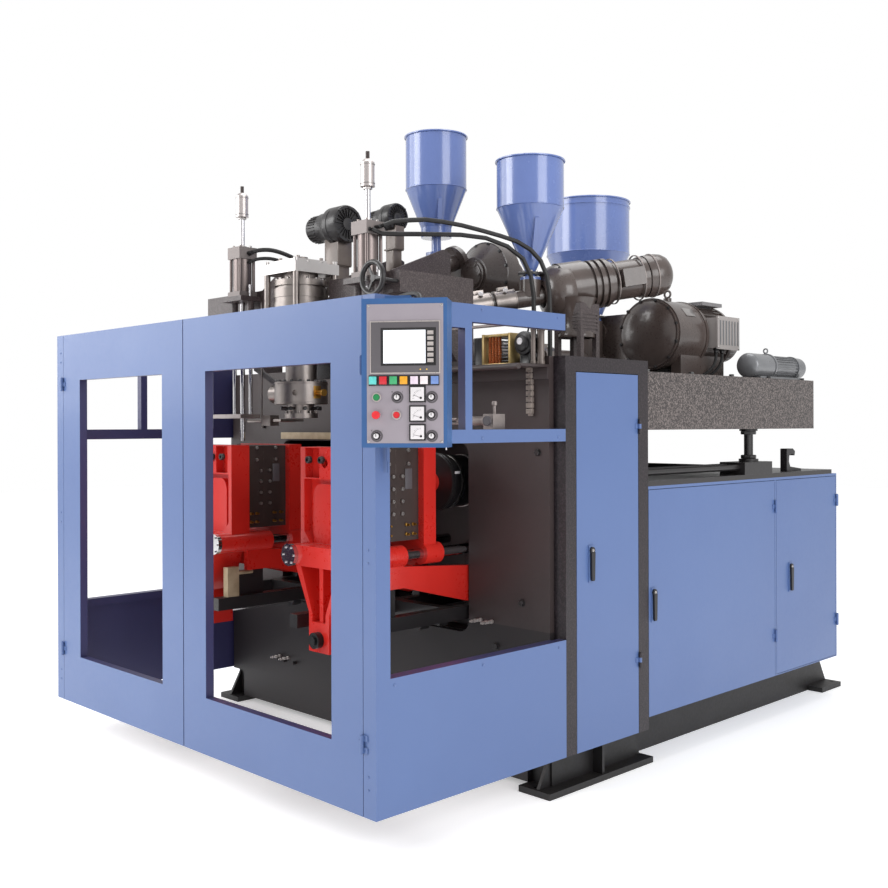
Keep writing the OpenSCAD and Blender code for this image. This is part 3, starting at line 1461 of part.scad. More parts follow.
module place() {
    translate([x_shift, y_shift, 0]) children();
}

place() base_frame();
place() front_bulkhead();
place() frame_columns();
place() rear_cabinet();
place() extruder_deck();
place() side_guard_right();
place() side_guard_left();
place() deck_lifts();
place() blow_beam();
place() shuttle_rails();
place() pneumatics();
place() hoses();
place() control_box();
place() control_panel();
place() panel_instruments();
place() blow_cylinders();
place() die_head();
place() head_yoke();
place() main_hopper();
place() satellite_hoppers();
place() extruder_barrels();
place() heater_bands();
place() main_gearbox();
place() satellite_gearmotors();
place() main_motor();
place() extruder_supports();
place() barrel_blowers();
place() pump_motor();
place() front_door_left();
place() front_door_right();
place() column_door();
place() rear_door_main();
place() rear_door_small();
place() handle_column();
place() handle_rear_main();
place() handle_rear_small();
place() green_button();
place() red_button();
place() emergency_stop();
place() selector_knob(0);  // selector_knob_1
place() selector_knob(1);  // selector_knob_2
place() selector_knob(2);  // selector_knob_3
place() selector_knob(3);  // selector_knob_4
place() selector_knob(4);  // selector_knob_5
place() carriage(-1);  // carriage_left
place() carriage(1);  // carriage_right
place() front_platen(-1);  // front_platen_left
place() front_platen(1);  // front_platen_right
place() rear_platen(-1);  // rear_platen_left
place() rear_platen(1);  // rear_platen_right
place() tie_rods(-1);  // tie_rods_left
place() tie_rods(1);  // tie_rods_right
place() mould_front(-1);  // mould_front_left
place() mould_front(1);  // mould_front_right
place() mould_rear(-1);  // mould_rear_left
place() mould_rear(1);  // mould_rear_right
place() blow_pin(-1);  // blow_pin_left
place() blow_pin(1);  // blow_pin_right
place() parison_knife();
place() handwheel();
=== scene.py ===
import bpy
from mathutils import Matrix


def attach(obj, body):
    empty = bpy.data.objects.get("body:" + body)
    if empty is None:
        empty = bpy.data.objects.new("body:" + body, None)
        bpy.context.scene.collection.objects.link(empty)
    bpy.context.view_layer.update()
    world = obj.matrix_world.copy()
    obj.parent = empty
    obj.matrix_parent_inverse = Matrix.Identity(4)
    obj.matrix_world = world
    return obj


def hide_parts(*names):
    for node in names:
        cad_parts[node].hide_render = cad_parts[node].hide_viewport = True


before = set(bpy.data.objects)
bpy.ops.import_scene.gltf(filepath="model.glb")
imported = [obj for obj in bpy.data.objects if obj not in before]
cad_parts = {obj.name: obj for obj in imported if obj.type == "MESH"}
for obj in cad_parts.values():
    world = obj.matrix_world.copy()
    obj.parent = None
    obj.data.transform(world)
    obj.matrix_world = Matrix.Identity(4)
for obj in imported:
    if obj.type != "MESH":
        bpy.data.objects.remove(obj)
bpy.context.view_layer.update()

"""Looks of a double-station extrusion blow moulding machine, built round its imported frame.

Places are given in the millimetres of the machine's own drawing and turned into the
frame's metres in one place, by the matrix DRAWING.
"""
import logging
import math
from dataclasses import dataclass, field
from enum import Enum
from functools import cache
from typing import Sequence

import bpy
from mathutils import Matrix, Vector

LOG = logging.getLogger("blow_moulder")
MM = 0.001
SHIFT = Vector((-162.106, -1839.0, 0.0))
DRAWING = Matrix.Translation(SHIFT * MM)
IDENTITY = Matrix.Identity(4)
VALUE, VECTOR, COLOUR = "NodeSocketFloat", "NodeSocketVector", "NodeSocketColor"
Point = tuple[float, float, float]
Colour = tuple[int, int, int]


# ---------------------------------------------------------------- drawing helpers


def linear(colour: Colour) -> tuple[float, float, float, float]:
    """Turns a screen colour of 0 to 255 into the linear values that shaders use.

    Args:
        colour: red, green and blue from 0 to 255.

    Returns:
        The linear colour with an alpha of one.
    """
    def channel(value: float) -> float:
        """One channel from screen to linear."""
        v = value / 255.0
        return v / 12.92 if v <= 0.04045 else ((v + 0.055) / 1.055) ** 2.4
    return (channel(colour[0]), channel(colour[1]), channel(colour[2]), 1.0)


def stance(origin: Point, direction: Point, up: Point = (0, 0, 1),
           base: Matrix = DRAWING) -> Matrix:
    """Gives the matrix that stands a piece at a place with its own z along a direction.

    Args:
        origin: place in millimetres of the base.
        direction: where the piece's own z axis points.
        up: where its own y axis leans to.
        base: the matrix of the space that the values are in.

    Returns:
        The matrix from the piece's own space to the frame.
    """
    z = Vector(direction).normalized()
    hint = Vector(up).normalized()
    if abs(z.dot(hint)) > 0.98:
        hint = Vector((0, 1, 0))
    x = hint.cross(z).normalized()
    y = z.cross(x)
    turn = Matrix((x, y, z)).transposed().to_4x4()
    return base @ Matrix.Translation(Vector(origin) * MM) @ turn


def ring_of(count: int, radius: float, pose: Matrix, height: float = 0.0,
            start: float = 0.0) -> list[Matrix]:
    """Places evenly spread on a circle of a stance.

    Args:
        count: how many places.
        radius: radius of the circle in millimetres.
        pose: the stance whose z axis is the circle's axis.
        height: height along that axis in millimetres.
        start: angle of the first place in degrees.

    Returns:
        One matrix for each place.
    """
    places = []
    for i in range(count):
        a = math.radians(start + i * 360.0 / count)
        offset = Vector((radius * math.cos(a), radius * math.sin(a), height)) * MM
        places.append(pose @ Matrix.Translation(offset) @ Matrix.Rotation(a, 4, "Z"))
    return places


# ---------------------------------------------------------------- finishes


class Relief(Enum):
    """Kinds of fine surface that a finish can have."""

    PEEL = "orange peel of sprayed enamel"
    HAMMER = "hammertone enamel"
    BRUSHED = "brushed or turned metal"
    CAST = "cast skin under paint"
    MOULDED = "fine moulded plastic"
    RUBBER = "braided rubber"


@dataclass(frozen=True)
class Zone:
    """A box of the drawing, in millimetres, inside which a finish changes."""

    low: Point
    high: Point
    colour: Colour
    metallic: float = 0.0
    rough: float = 0.4


@dataclass(frozen=True)
class Finish:
    """One surface finish and the numbers that its nodes are built from."""

    name: str
    colour: Colour
    other: Colour
    spread: float = 0.5
    spread_scale: float = 3.0
    rough: tuple[float, float] = (0.3, 0.45)
    grain_scale: float = 60.0
    metallic: float = 0.0
    relief: Relief = Relief.PEEL
    relief_scale: float = 420.0
    relief_depth: float = 0.00012
    coat: float = 0.0
    wear: float = 0.0
    worn: Colour = (170, 168, 165)
    dust: float = 0.0
    glow: float = 0.0
    zones: tuple[Zone, ...] = ()

    def dressed(self, *zones: Zone, name: str = "") -> "Finish":
        """The same finish with boxes in which it changes."""
        values = {k: getattr(self, k) for k in self.__dataclass_fields__}
        values.update(name=name or self.name + "_zoned", zones=tuple(zones))
        return Finish(**values)


class Sheet:
    """A node tree under construction, with short calls to add and feed nodes."""

    def __init__(self, tree: bpy.types.NodeTree) -> None:
        """Keeps the tree and empties it."""
        self.tree = tree
        tree.nodes.clear()

    def add(self, kind: str, feeds: dict | None = None, **settings) -> bpy.types.Node:
        """Adds a node, sets its options and feeds its inputs.

        Args:
            kind: the node's type name.
            feeds: input name or number to a value or to another node's socket.
            settings: attributes of the node.

        Returns:
            The node.
        """
        node = self.tree.nodes.new(kind)
        for key, value in settings.items():
            setattr(node, key, value)
        self.feed(node, feeds or {})
        return node

    def feed(self, node: bpy.types.Node, feeds: dict) -> None:
        """Links or sets a node's inputs.

        Args:
            node: the node.
            feeds: input name or number to a value or to another node's socket.
        """
        for key, value in feeds.items():
            if isinstance(value, bpy.types.NodeSocket):
                self.tree.links.new(value, node.inputs[key])
            else:
                node.inputs[key].default_value = value

    def maths(self, operation: str, a, b=0.0, c=0.0) -> bpy.types.NodeSocket:
        """One calculation; returns its result."""
        node = self.add("ShaderNodeMath", {0: a, 1: b, 2: c}, operation=operation)
        return node.outputs[0]

    def mix(self, factor, a, b) -> bpy.types.NodeSocket:
        """Mixes two colours by a factor; returns the colour."""
        node = self.add("ShaderNodeMix", {0: factor, 6: a, 7: b}, data_type="RGBA")
        return node.outputs[2]

    def blend(self, factor, a, b) -> bpy.types.NodeSocket:
        """Mixes two numbers by a factor; returns the number."""
        node = self.add("ShaderNodeMix", {0: factor, 2: a, 3: b}, data_type="FLOAT")
        return node.outputs[0]

    def spread(self, value, low: float, high: float, out_low, out_high) -> bpy.types.NodeSocket:
        """Maps a number from one range to another; returns it."""
        node = self.add("ShaderNodeMapRange", {"Value": value, "From Min": low, "From Max": high,
                                               "To Min": out_low, "To Max": out_high})
        return node.outputs[0]

    def noise(self, vector, scale, detail: float = 3.0, rough: float = 0.55
              ) -> bpy.types.NodeSocket:
        """A noise field; returns its value."""
        node = self.add("ShaderNodeTexNoise", {"Vector": vector, "Scale": scale, "Detail": detail,
                                               "Roughness": rough})
        return node.outputs[0]


class EffectShop:
    """Builds each shared effect once, as a node group with named sockets."""

    def _new(self, name: str, inputs: dict[str, str], outputs: dict[str, str]
             ) -> tuple[Sheet, bpy.types.Node, bpy.types.Node]:
        """Starts a group with its sockets.

        Args:
            name: the group's name.
            inputs: socket name to socket type.
            outputs: socket name to socket type.

        Returns:
            The sheet, the group's input node and its output node.
        """
        tree = bpy.data.node_groups.new(name, "ShaderNodeTree")
        for label, kind in inputs.items():
            tree.interface.new_socket(name=label, in_out="INPUT", socket_type=kind)
        for label, kind in outputs.items():
            tree.interface.new_socket(name=label, in_out="OUTPUT", socket_type=kind)
        sheet = Sheet(tree)
        return sheet, sheet.add("NodeGroupInput"), sheet.add("NodeGroupOutput")

    @cache
    def mottle(self) -> bpy.types.NodeTree:
        """Slow change between two colours over a large sheet.

        Returns:
            The node group.
        """
        s, i, o = self._new(
            "sheet_mottle", {"Vector": VECTOR, "Scale": VALUE, "Amount": VALUE, "Colour": COLOUR,
            "Other": COLOUR}, {"Colour": COLOUR})
        wide = s.noise(i.outputs["Vector"], i.outputs["Scale"], 4.0)
        band = s.spread(wide, 0.35, 0.65, 0.0, 1.0)
        amount = s.maths("MULTIPLY", band, i.outputs["Amount"])
        s.tree.links.new(s.mix(amount, i.outputs["Colour"], i.outputs["Other"]), o.inputs[0])
        return s.tree

    @cache
    def grain(self) -> bpy.types.NodeTree:
        """Roughness that varies between two values, with smears.

        Returns:
            The node group.
        """
        s, i, o = self._new(
            "gloss_grain", {"Vector": VECTOR, "Scale": VALUE, "Low": VALUE, "High": VALUE},
            {"Roughness": VALUE})
        fine = s.noise(i.outputs["Vector"], i.outputs["Scale"], 5.0, 0.65)
        wide = s.noise(i.outputs["Vector"], 4.0, 2.0)
        both = s.maths("MULTIPLY_ADD", fine, 0.6, s.maths("MULTIPLY", wide, 0.4))
        rough = s.spread(both, 0.3, 0.7, i.outputs["Low"], i.outputs["High"])
        s.tree.links.new(rough, o.inputs[0])
        return s.tree

    @cache
    def hammer(self) -> bpy.types.NodeTree:
        """Dimples and light flecks of hammertone enamel.

        Returns:
            The node group.
        """
        s, i, o = self._new(
            "hammer_dimples", {"Vector": VECTOR, "Scale": VALUE},
            {"Height": VALUE, "Fleck": VALUE})
        warp = s.add("ShaderNodeTexNoise", {"Vector": i.outputs["Vector"], "Scale": 55.0})
        bent = s.add("ShaderNodeVectorMath", {0: warp.outputs[1], 1: (0.011, 0.011, 0.011),
                                              2: i.outputs["Vector"]}, operation="MULTIPLY_ADD")
        cells = s.add(
            "ShaderNodeTexVoronoi", {"Vector": bent.outputs[0], "Scale": i.outputs["Scale"],
            "Randomness": 1.0}, feature="SMOOTH_F1")
        fleck = s.noise(bent.outputs[0], s.maths("MULTIPLY", i.outputs["Scale"], 0.8), 3.0, 0.7)
        s.tree.links.new(cells.outputs["Distance"], o.inputs[0])
        s.tree.links.new(s.spread(fleck, 0.47, 0.6, 0.0, 1.0), o.inputs[1])
        return s.tree

    @cache
    def brush(self) -> bpy.types.NodeTree:
        """Fine lines left by turning or brushing.

        Returns:
            The node group.
        """
        s, i, o = self._new("brush_lines", {"Vector": VECTOR, "Scale": VALUE}, {"Height": VALUE})
        flat = s.add("ShaderNodeVectorMath", {0: i.outputs["Vector"], 1: (0.12, 0.12, 1.0)},
                     operation="MULTIPLY")
        s.tree.links.new(s.noise(flat.outputs[0], i.outputs["Scale"], 2.0, 0.7), o.inputs[0])
        return s.tree

    @cache
    def edge_wear(self) -> bpy.types.NodeTree:
        """Mask of the edges where enamel rubs thin.

        Returns:
            The node group.
        """
        s, i, o = self._new(
            "edge_wear", {"Vector": VECTOR, "Radius": VALUE, "Amount": VALUE}, {"Mask": VALUE})
        soft = s.add("ShaderNodeBevel", {"Radius": i.outputs["Radius"]}, samples=3)
        true = s.add("ShaderNodeNewGeometry")
        dot = s.add("ShaderNodeVectorMath", {0: soft.outputs[0], 1: true.outputs["Normal"]},
                    operation="DOT_PRODUCT")
        edge = s.spread(dot.outputs["Value"], 0.99, 0.86, 0.0, 1.0)
        patch = s.spread(s.noise(i.outputs["Vector"], 26.0, 5.0, 0.7), 0.5, 0.62, 0.0, 1.0)
        rubbed = s.maths("MULTIPLY", s.maths("MULTIPLY", edge, patch), i.outputs["Amount"])
        s.tree.links.new(rubbed, o.inputs[0])
        return s.tree

    @cache
    def dust(self) -> bpy.types.NodeTree:
        """Mask of the dust that settles on faces that look up.

        Returns:
            The node group.
        """
        s, i, o = self._new("settled_dust", {"Vector": VECTOR, "Amount": VALUE}, {"Mask": VALUE})
        true = s.add("ShaderNodeNewGeometry")
        split = s.add("ShaderNodeSeparateXYZ", {0: true.outputs["Normal"]})
        upward = s.spread(split.outputs["Z"], 0.3, 1.0, 0.0, 1.0)
        patch = s.spread(s.noise(i.outputs["Vector"], 9.0, 6.0, 0.7), 0.35, 0.7, 0.2, 1.0)
        mask = s.maths("MULTIPLY", s.maths("MULTIPLY", upward, patch), i.outputs["Amount"])
        s.tree.links.new(mask, o.inputs[0])
        return s.tree

    @cache
    def zone(self) -> bpy.types.NodeTree:
        """Mask of a box in the piece's own coordinates.

        Returns:
            The node group.
        """
        s, i, o = self._new(
            "zone_box", {"Vector": VECTOR, "Low": VECTOR, "High": VECTOR}, {"Mask": VALUE})
        at = s.add("ShaderNodeSeparateXYZ", {0: i.outputs["Vector"]})
        low = s.add("ShaderNodeSeparateXYZ", {0: i.outputs["Low"]})
        high = s.add("ShaderNodeSeparateXYZ", {0: i.outputs["High"]})
        mask = None
        for axis in range(3):
            above = s.maths("GREATER_THAN", at.outputs[axis], low.outputs[axis])
            below = s.maths("LESS_THAN", at.outputs[axis], high.outputs[axis])
            inside = s.maths("MULTIPLY", above, below)
            mask = inside if mask is None else s.maths("MULTIPLY", mask, inside)
        s.tree.links.new(mask, o.inputs[0])
        return s.tree


class PaintShop:
    """Mixes each finish once and puts it on pieces."""

    FLECK_STRENGTH = 0.62
    EDGE_RADIUS = 0.004
    WORN_ROUGH = 0.5
    DUST_TONE = (150, 145, 138)
    DUST_ROUGH = 0.8
    BUMP_STRENGTH = 0.6

    def __init__(self) -> None:
        """Starts with no material mixed."""
        self.effects = EffectShop()
        self.mixed: dict[str, bpy.types.Material] = {}

    def _group(self, s: Sheet, tree: bpy.types.NodeTree, feeds: dict) -> bpy.types.Node:
        """Places a shared effect in a material and feeds it.

        Args:
            s: the sheet of the material.
            tree: the effect's node group.
            feeds: input name to a value or to another node's socket.

        Returns:
            The group's node.
        """
        node = s.add("ShaderNodeGroup", node_tree=tree)
        s.feed(node, feeds)
        return node

    def material(self, finish: Finish) -> bpy.types.Material:
        """Gives the material of a finish, mixing it the first time.

        Args:
            finish: the finish.

        Returns:
            The Blender material.
        """
        if finish.name in self.mixed:
            return self.mixed[finish.name]
        made = bpy.data.materials.new(finish.name)
        made.use_nodes = True
        s = Sheet(made.node_tree)
        where = s.add("ShaderNodeTexCoord").outputs["Object"]
        fx = self.effects
        colour = self._group(s, fx.mottle(), {
            "Vector": where, "Scale": finish.spread_scale, "Amount": finish.spread,
            "Colour": linear(finish.colour), "Other": linear(finish.other)}).outputs[0]
        rough = self._group(s, fx.grain(), {
            "Vector": where, "Scale": finish.grain_scale, "Low": finish.rough[0],
            "High": finish.rough[1]}).outputs[0]
        metal = None
        if finish.relief is Relief.HAMMER:
            dimples = self._group(s, fx.hammer(), {"Vector": where, "Scale": finish.relief_scale})
            height = dimples.outputs["Height"]
            fleck = s.maths("MULTIPLY", dimples.outputs["Fleck"], self.FLECK_STRENGTH)
            colour = s.mix(fleck, colour, linear(finish.worn))
        elif finish.relief is Relief.BRUSHED:
            height = self._group(s, fx.brush(), {"Vector": where,
                                                 "Scale": finish.relief_scale}).outputs[0]
        else:
            height = s.noise(where, finish.relief_scale, 2.0, 0.5)
        for zone in finish.zones:
            low = (Vector(zone.low) + SHIFT) * MM
            high = (Vector(zone.high) + SHIFT) * MM
            mask = self._group(s, fx.zone(), {"Vector": where, "Low": low,
                                              "High": high}).outputs[0]
            colour = s.mix(mask, colour, linear(zone.colour))
            rough = s.blend(mask, rough, zone.rough)
            if zone.metallic != finish.metallic or metal is not None:
                metal = s.blend(mask, finish.metallic if metal is None else metal, zone.metallic)
        if finish.wear:
            worn = self._group(s, fx.edge_wear(), {"Vector": where, "Radius": self.EDGE_RADIUS,
                                                   "Amount": finish.wear}).outputs[0]
            colour = s.mix(worn, colour, linear(finish.worn))
            rough = s.blend(worn, rough, self.WORN_ROUGH)
        if finish.dust:
            dusty = self._group(s, fx.dust(), {"Vector": where, "Amount": finish.dust}).outputs[0]
            colour = s.mix(dusty, colour, linear(self.DUST_TONE))
            rough = s.blend(dusty, rough, self.DUST_ROUGH)
        bump = s.add("ShaderNodeBump", {"Strength": self.BUMP_STRENGTH,
                                        "Distance": finish.relief_depth, "Height": height})
        shader = s.add(
            "ShaderNodeBsdfPrincipled", {"Base Color": colour, "Roughness": rough,
            "Normal": bump.outputs[0], "Metallic": finish.metallic, "Coat Weight": finish.coat,
            "Coat Roughness": 0.12})
        if metal is not None:
            s.tree.links.new(metal, shader.inputs["Metallic"])
        if finish.glow:
            s.tree.links.new(colour, shader.inputs["Emission Color"])
            shader.inputs["Emission Strength"].default_value = finish.glow
        out = s.add("ShaderNodeOutputMaterial")
        s.tree.links.new(shader.outputs[0], out.inputs[0])
        self.mixed[finish.name] = made
        return made

    def paint(self, piece: bpy.types.Object, finish: Finish) -> None:
        """Puts a finish on every slot of a piece or CAD node.

        Args:
            piece: the piece or node.
            finish: its finish.
        """
        made = self.material(finish)
        if not piece.material_slots:
            piece.data.materials.append(made)
        for slot in piece.material_slots:
            slot.material = made


class Palette:
    """The machine's finishes, named for what they are on."""

    SHEET_BLUE = Finish("sheet_blue_enamel", (84, 108, 157), (78, 101, 150), 0.6, 1.1,
                        (0.34, 0.46), 40.0, relief_scale=380.0, relief_depth=0.00010,
                        coat=0.15, wear=0.3, worn=(132, 142, 166), dust=0.06)
    BOX_BLUE = Finish("control_box_enamel", (48, 92, 146), (42, 84, 138), 0.5, 6.0,
                      (0.32, 0.42), 60.0, coat=0.2, wear=0.3, worn=(120, 140, 168))
    HOPPER_BLUE = Finish("hopper_blue_gloss", (100, 121, 180), (92, 112, 170), 0.5, 5.0,
                         (0.2, 0.3), 30.0, relief_depth=0.00006, coat=0.8)
    HAMMER = Finish("hammertone_enamel", (50, 43, 43), (38, 33, 33), 0.7, 2.0, (0.3, 0.5),
                    80.0, relief=Relief.HAMMER, relief_scale=165.0, relief_depth=0.0011,
                    coat=0.15, worn=(146, 135, 131))
    HAMMER_SOFT = Finish("hammertone_in_half_shade", (66, 56, 57), (56, 48, 49), 0.7, 2.0,
                         (0.32, 0.5), 80.0, relief=Relief.HAMMER, relief_scale=185.0,
                         relief_depth=0.0007, coat=0.12, worn=(104, 93, 92))
    HAMMER_DARK = Finish(
        "hammertone_in_shade", (26, 19, 24), (21, 16, 20), 0.7, 2.0, (0.36, 0.54), 80.0,
        relief=Relief.HAMMER, relief_scale=150.0, relief_depth=0.0008, worn=(58, 48, 54))
    BASE_BLACK = Finish("base_beam_black", (22, 19, 20), (16, 14, 15), 0.7, 1.4, (0.42, 0.58),
                        60.0, relief=Relief.CAST, relief_scale=200.0, relief_depth=0.0003,
                        wear=0.25, worn=(64, 59, 59), dust=0.05)
    PAD_TAN = Finish("slide_pad_tan", (182, 164, 134), (150, 132, 104), 0.7, 18.0, (0.5, 0.66),
                     90.0, relief=Relief.CAST, relief_scale=260.0, relief_depth=0.0003)
    BULKHEAD = Finish("bulkhead_brown_satin", (64, 53, 53), (50, 42, 42), 0.8, 1.6,
                      (0.42, 0.58), 50.0, relief_depth=0.0002, wear=0.2, worn=(96, 88, 86))
    DRIVE_BROWN = Finish(
        "drive_case_enamel", (82, 71, 67), (60, 52, 50), 0.6, 5.0, (0.22, 0.38), 60.0,
        relief=Relief.CAST, relief_scale=160.0, relief_depth=0.0005, coat=0.45, wear=0.25,
        worn=(110, 104, 100), dust=0.05)
    DRIVE_TAN = Finish("duct_grey_brown", (112, 101, 95), (88, 79, 74), 0.7, 9.0, (0.3, 0.46),
                       80.0, metallic=0.25, relief=Relief.CAST, relief_scale=200.0,
                       relief_depth=0.0004, coat=0.2, wear=0.2, dust=0.1)
    BLACK = Finish("black_machine_enamel", (30, 28, 30), (40, 37, 38), 0.6, 3.0,
                   (0.3, 0.5), 60.0, relief=Relief.CAST, relief_scale=240.0,
                   relief_depth=0.0003, coat=0.2, wear=0.35, worn=(92, 88, 86), dust=0.12)
    RED = Finish("clamp_red_enamel", (217, 43, 34), (198, 33, 26), 0.6, 3.0, (0.24, 0.36),
                 50.0, relief=Relief.CAST, relief_scale=70.0, relief_depth=0.0004,
                 coat=0.4, wear=0.12, worn=(150, 60, 50), dust=0.03)
    STEEL = Finish(
        "ground_steel", (156, 148, 144), (128, 121, 117), 0.6, 8.0, (0.26, 0.42), 140.0,
        metallic=1.0, relief=Relief.BRUSHED, relief_scale=900.0, relief_depth=0.00015)
    CHROME = Finish(
        "hard_chrome", (206, 204, 206), (190, 188, 190), 0.4, 10.0, (0.08, 0.16), 90.0,
        metallic=1.0, relief=Relief.BRUSHED, relief_scale=1200.0, relief_depth=0.00003)
    ALUMINIUM = Finish(
        "cast_aluminium", (150, 141, 138), (126, 118, 115), 0.7, 14.0, (0.42, 0.6), 120.0,
        metallic=0.75, relief=Relief.CAST, relief_scale=300.0, relief_depth=0.0005)
    MOULD = Finish("blackened_mould_steel", (80, 68, 65), (66, 56, 54), 0.7, 6.0,
                   (0.32, 0.52), 90.0, metallic=0.45, relief=Relief.BRUSHED,
                   relief_scale=500.0, relief_depth=0.0002, wear=0.6, worn=(140, 130, 124))
    PUMP_GREY = Finish("pump_grey_enamel", (126, 127, 130), (108, 110, 113), 0.6, 9.0,
                       (0.24, 0.4), 80.0, metallic=0.35, relief=Relief.CAST,
                       relief_scale=200.0, relief_depth=0.0004, coat=0.3, dust=0.1)
    RUBBER = Finish("hose_rubber", (24, 23, 24), (34, 32, 32), 0.6, 20.0, (0.45, 0.6), 120.0,
                    relief=Relief.RUBBER, relief_scale=700.0, relief_depth=0.0004)
    PANEL = Finish(
        "panel_plate_grey", (158, 150, 158), (150, 142, 150), 0.4, 12.0, (0.38, 0.5), 200.0,
        metallic=0.15, relief=Relief.MOULDED, relief_scale=900.0, relief_depth=0.00004)
    BEZEL = Finish("screen_bezel_grey", (92, 88, 92), (84, 80, 84), 0.4, 20.0, (0.4, 0.5),
                   200.0, relief=Relief.MOULDED, relief_scale=900.0, relief_depth=0.00004)
    TRIM = Finish("silver_trim", (198, 190, 186), (180, 172, 170), 0.4, 20.0, (0.25, 0.4),
                  200.0, metallic=0.6, relief=Relief.MOULDED, relief_depth=0.00003)
    SCREEN = Finish("lit_screen", (238, 240, 246), (224, 230, 240), 0.4, 14.0, (0.12, 0.2),
                    60.0, relief=Relief.MOULDED, relief_depth=0.00001, glow=0.35)
    WHITE = Finish("white_plastic", (226, 222, 224), (214, 210, 212), 0.4, 40.0,
                   (0.3, 0.42), 200.0, relief=Relief.MOULDED, relief_depth=0.00004)
    BLACK_PLASTIC = Finish("black_plastic", (24, 22, 24), (34, 32, 34), 0.5, 40.0,
                           (0.3, 0.42), 200.0, relief=Relief.MOULDED, relief_depth=0.00004)
    BRASS = Finish(
        "drawn_brass", (186, 142, 70), (150, 110, 52), 0.7, 16.0, (0.24, 0.4), 140.0,
        metallic=1.0, relief=Relief.BRUSHED, relief_scale=700.0, relief_depth=0.0001)
    PALE_BRASS = Finish(
        "lacquered_brass", (188, 164, 112), (160, 138, 92), 0.7, 16.0, (0.34, 0.5), 140.0,
        metallic=0.55, relief=Relief.BRUSHED, relief_scale=700.0, relief_depth=0.0001)
    CHAIN = Finish("cable_chain_grey", (150, 138, 130), (112, 102, 98), 0.8, 40.0, (0.4, 0.55),
                   200.0, relief=Relief.MOULDED, relief_depth=0.00005)
    COPPER = Finish(
        "copper_tube", (190, 112, 70), (150, 84, 52), 0.7, 20.0, (0.24, 0.38), 140.0,
        metallic=1.0, relief=Relief.BRUSHED, relief_scale=700.0, relief_depth=0.0001)
    ZINC = Finish(
        "zinc_plated", (188, 184, 182), (158, 154, 152), 0.6, 24.0, (0.28, 0.42), 200.0,
        metallic=1.0, relief=Relief.BRUSHED, relief_scale=900.0, relief_depth=0.00005)

    @staticmethod
    def lamp(name: str, colour: Colour) -> Finish:
        """A translucent lamp cap of one colour with a faint glow; where it is put on the
        emergency stop, which is no lamp, the glow is painted light.
        """
        other = tuple(int(c * 0.86) for c in colour)
        return Finish("lamp_" + name, colour, other, 0.5, 60.0, (0.18, 0.28), 200.0,
                      relief=Relief.MOULDED, relief_depth=0.00003, coat=0.4, glow=0.08)


# ---------------------------------------------------------------- the bench


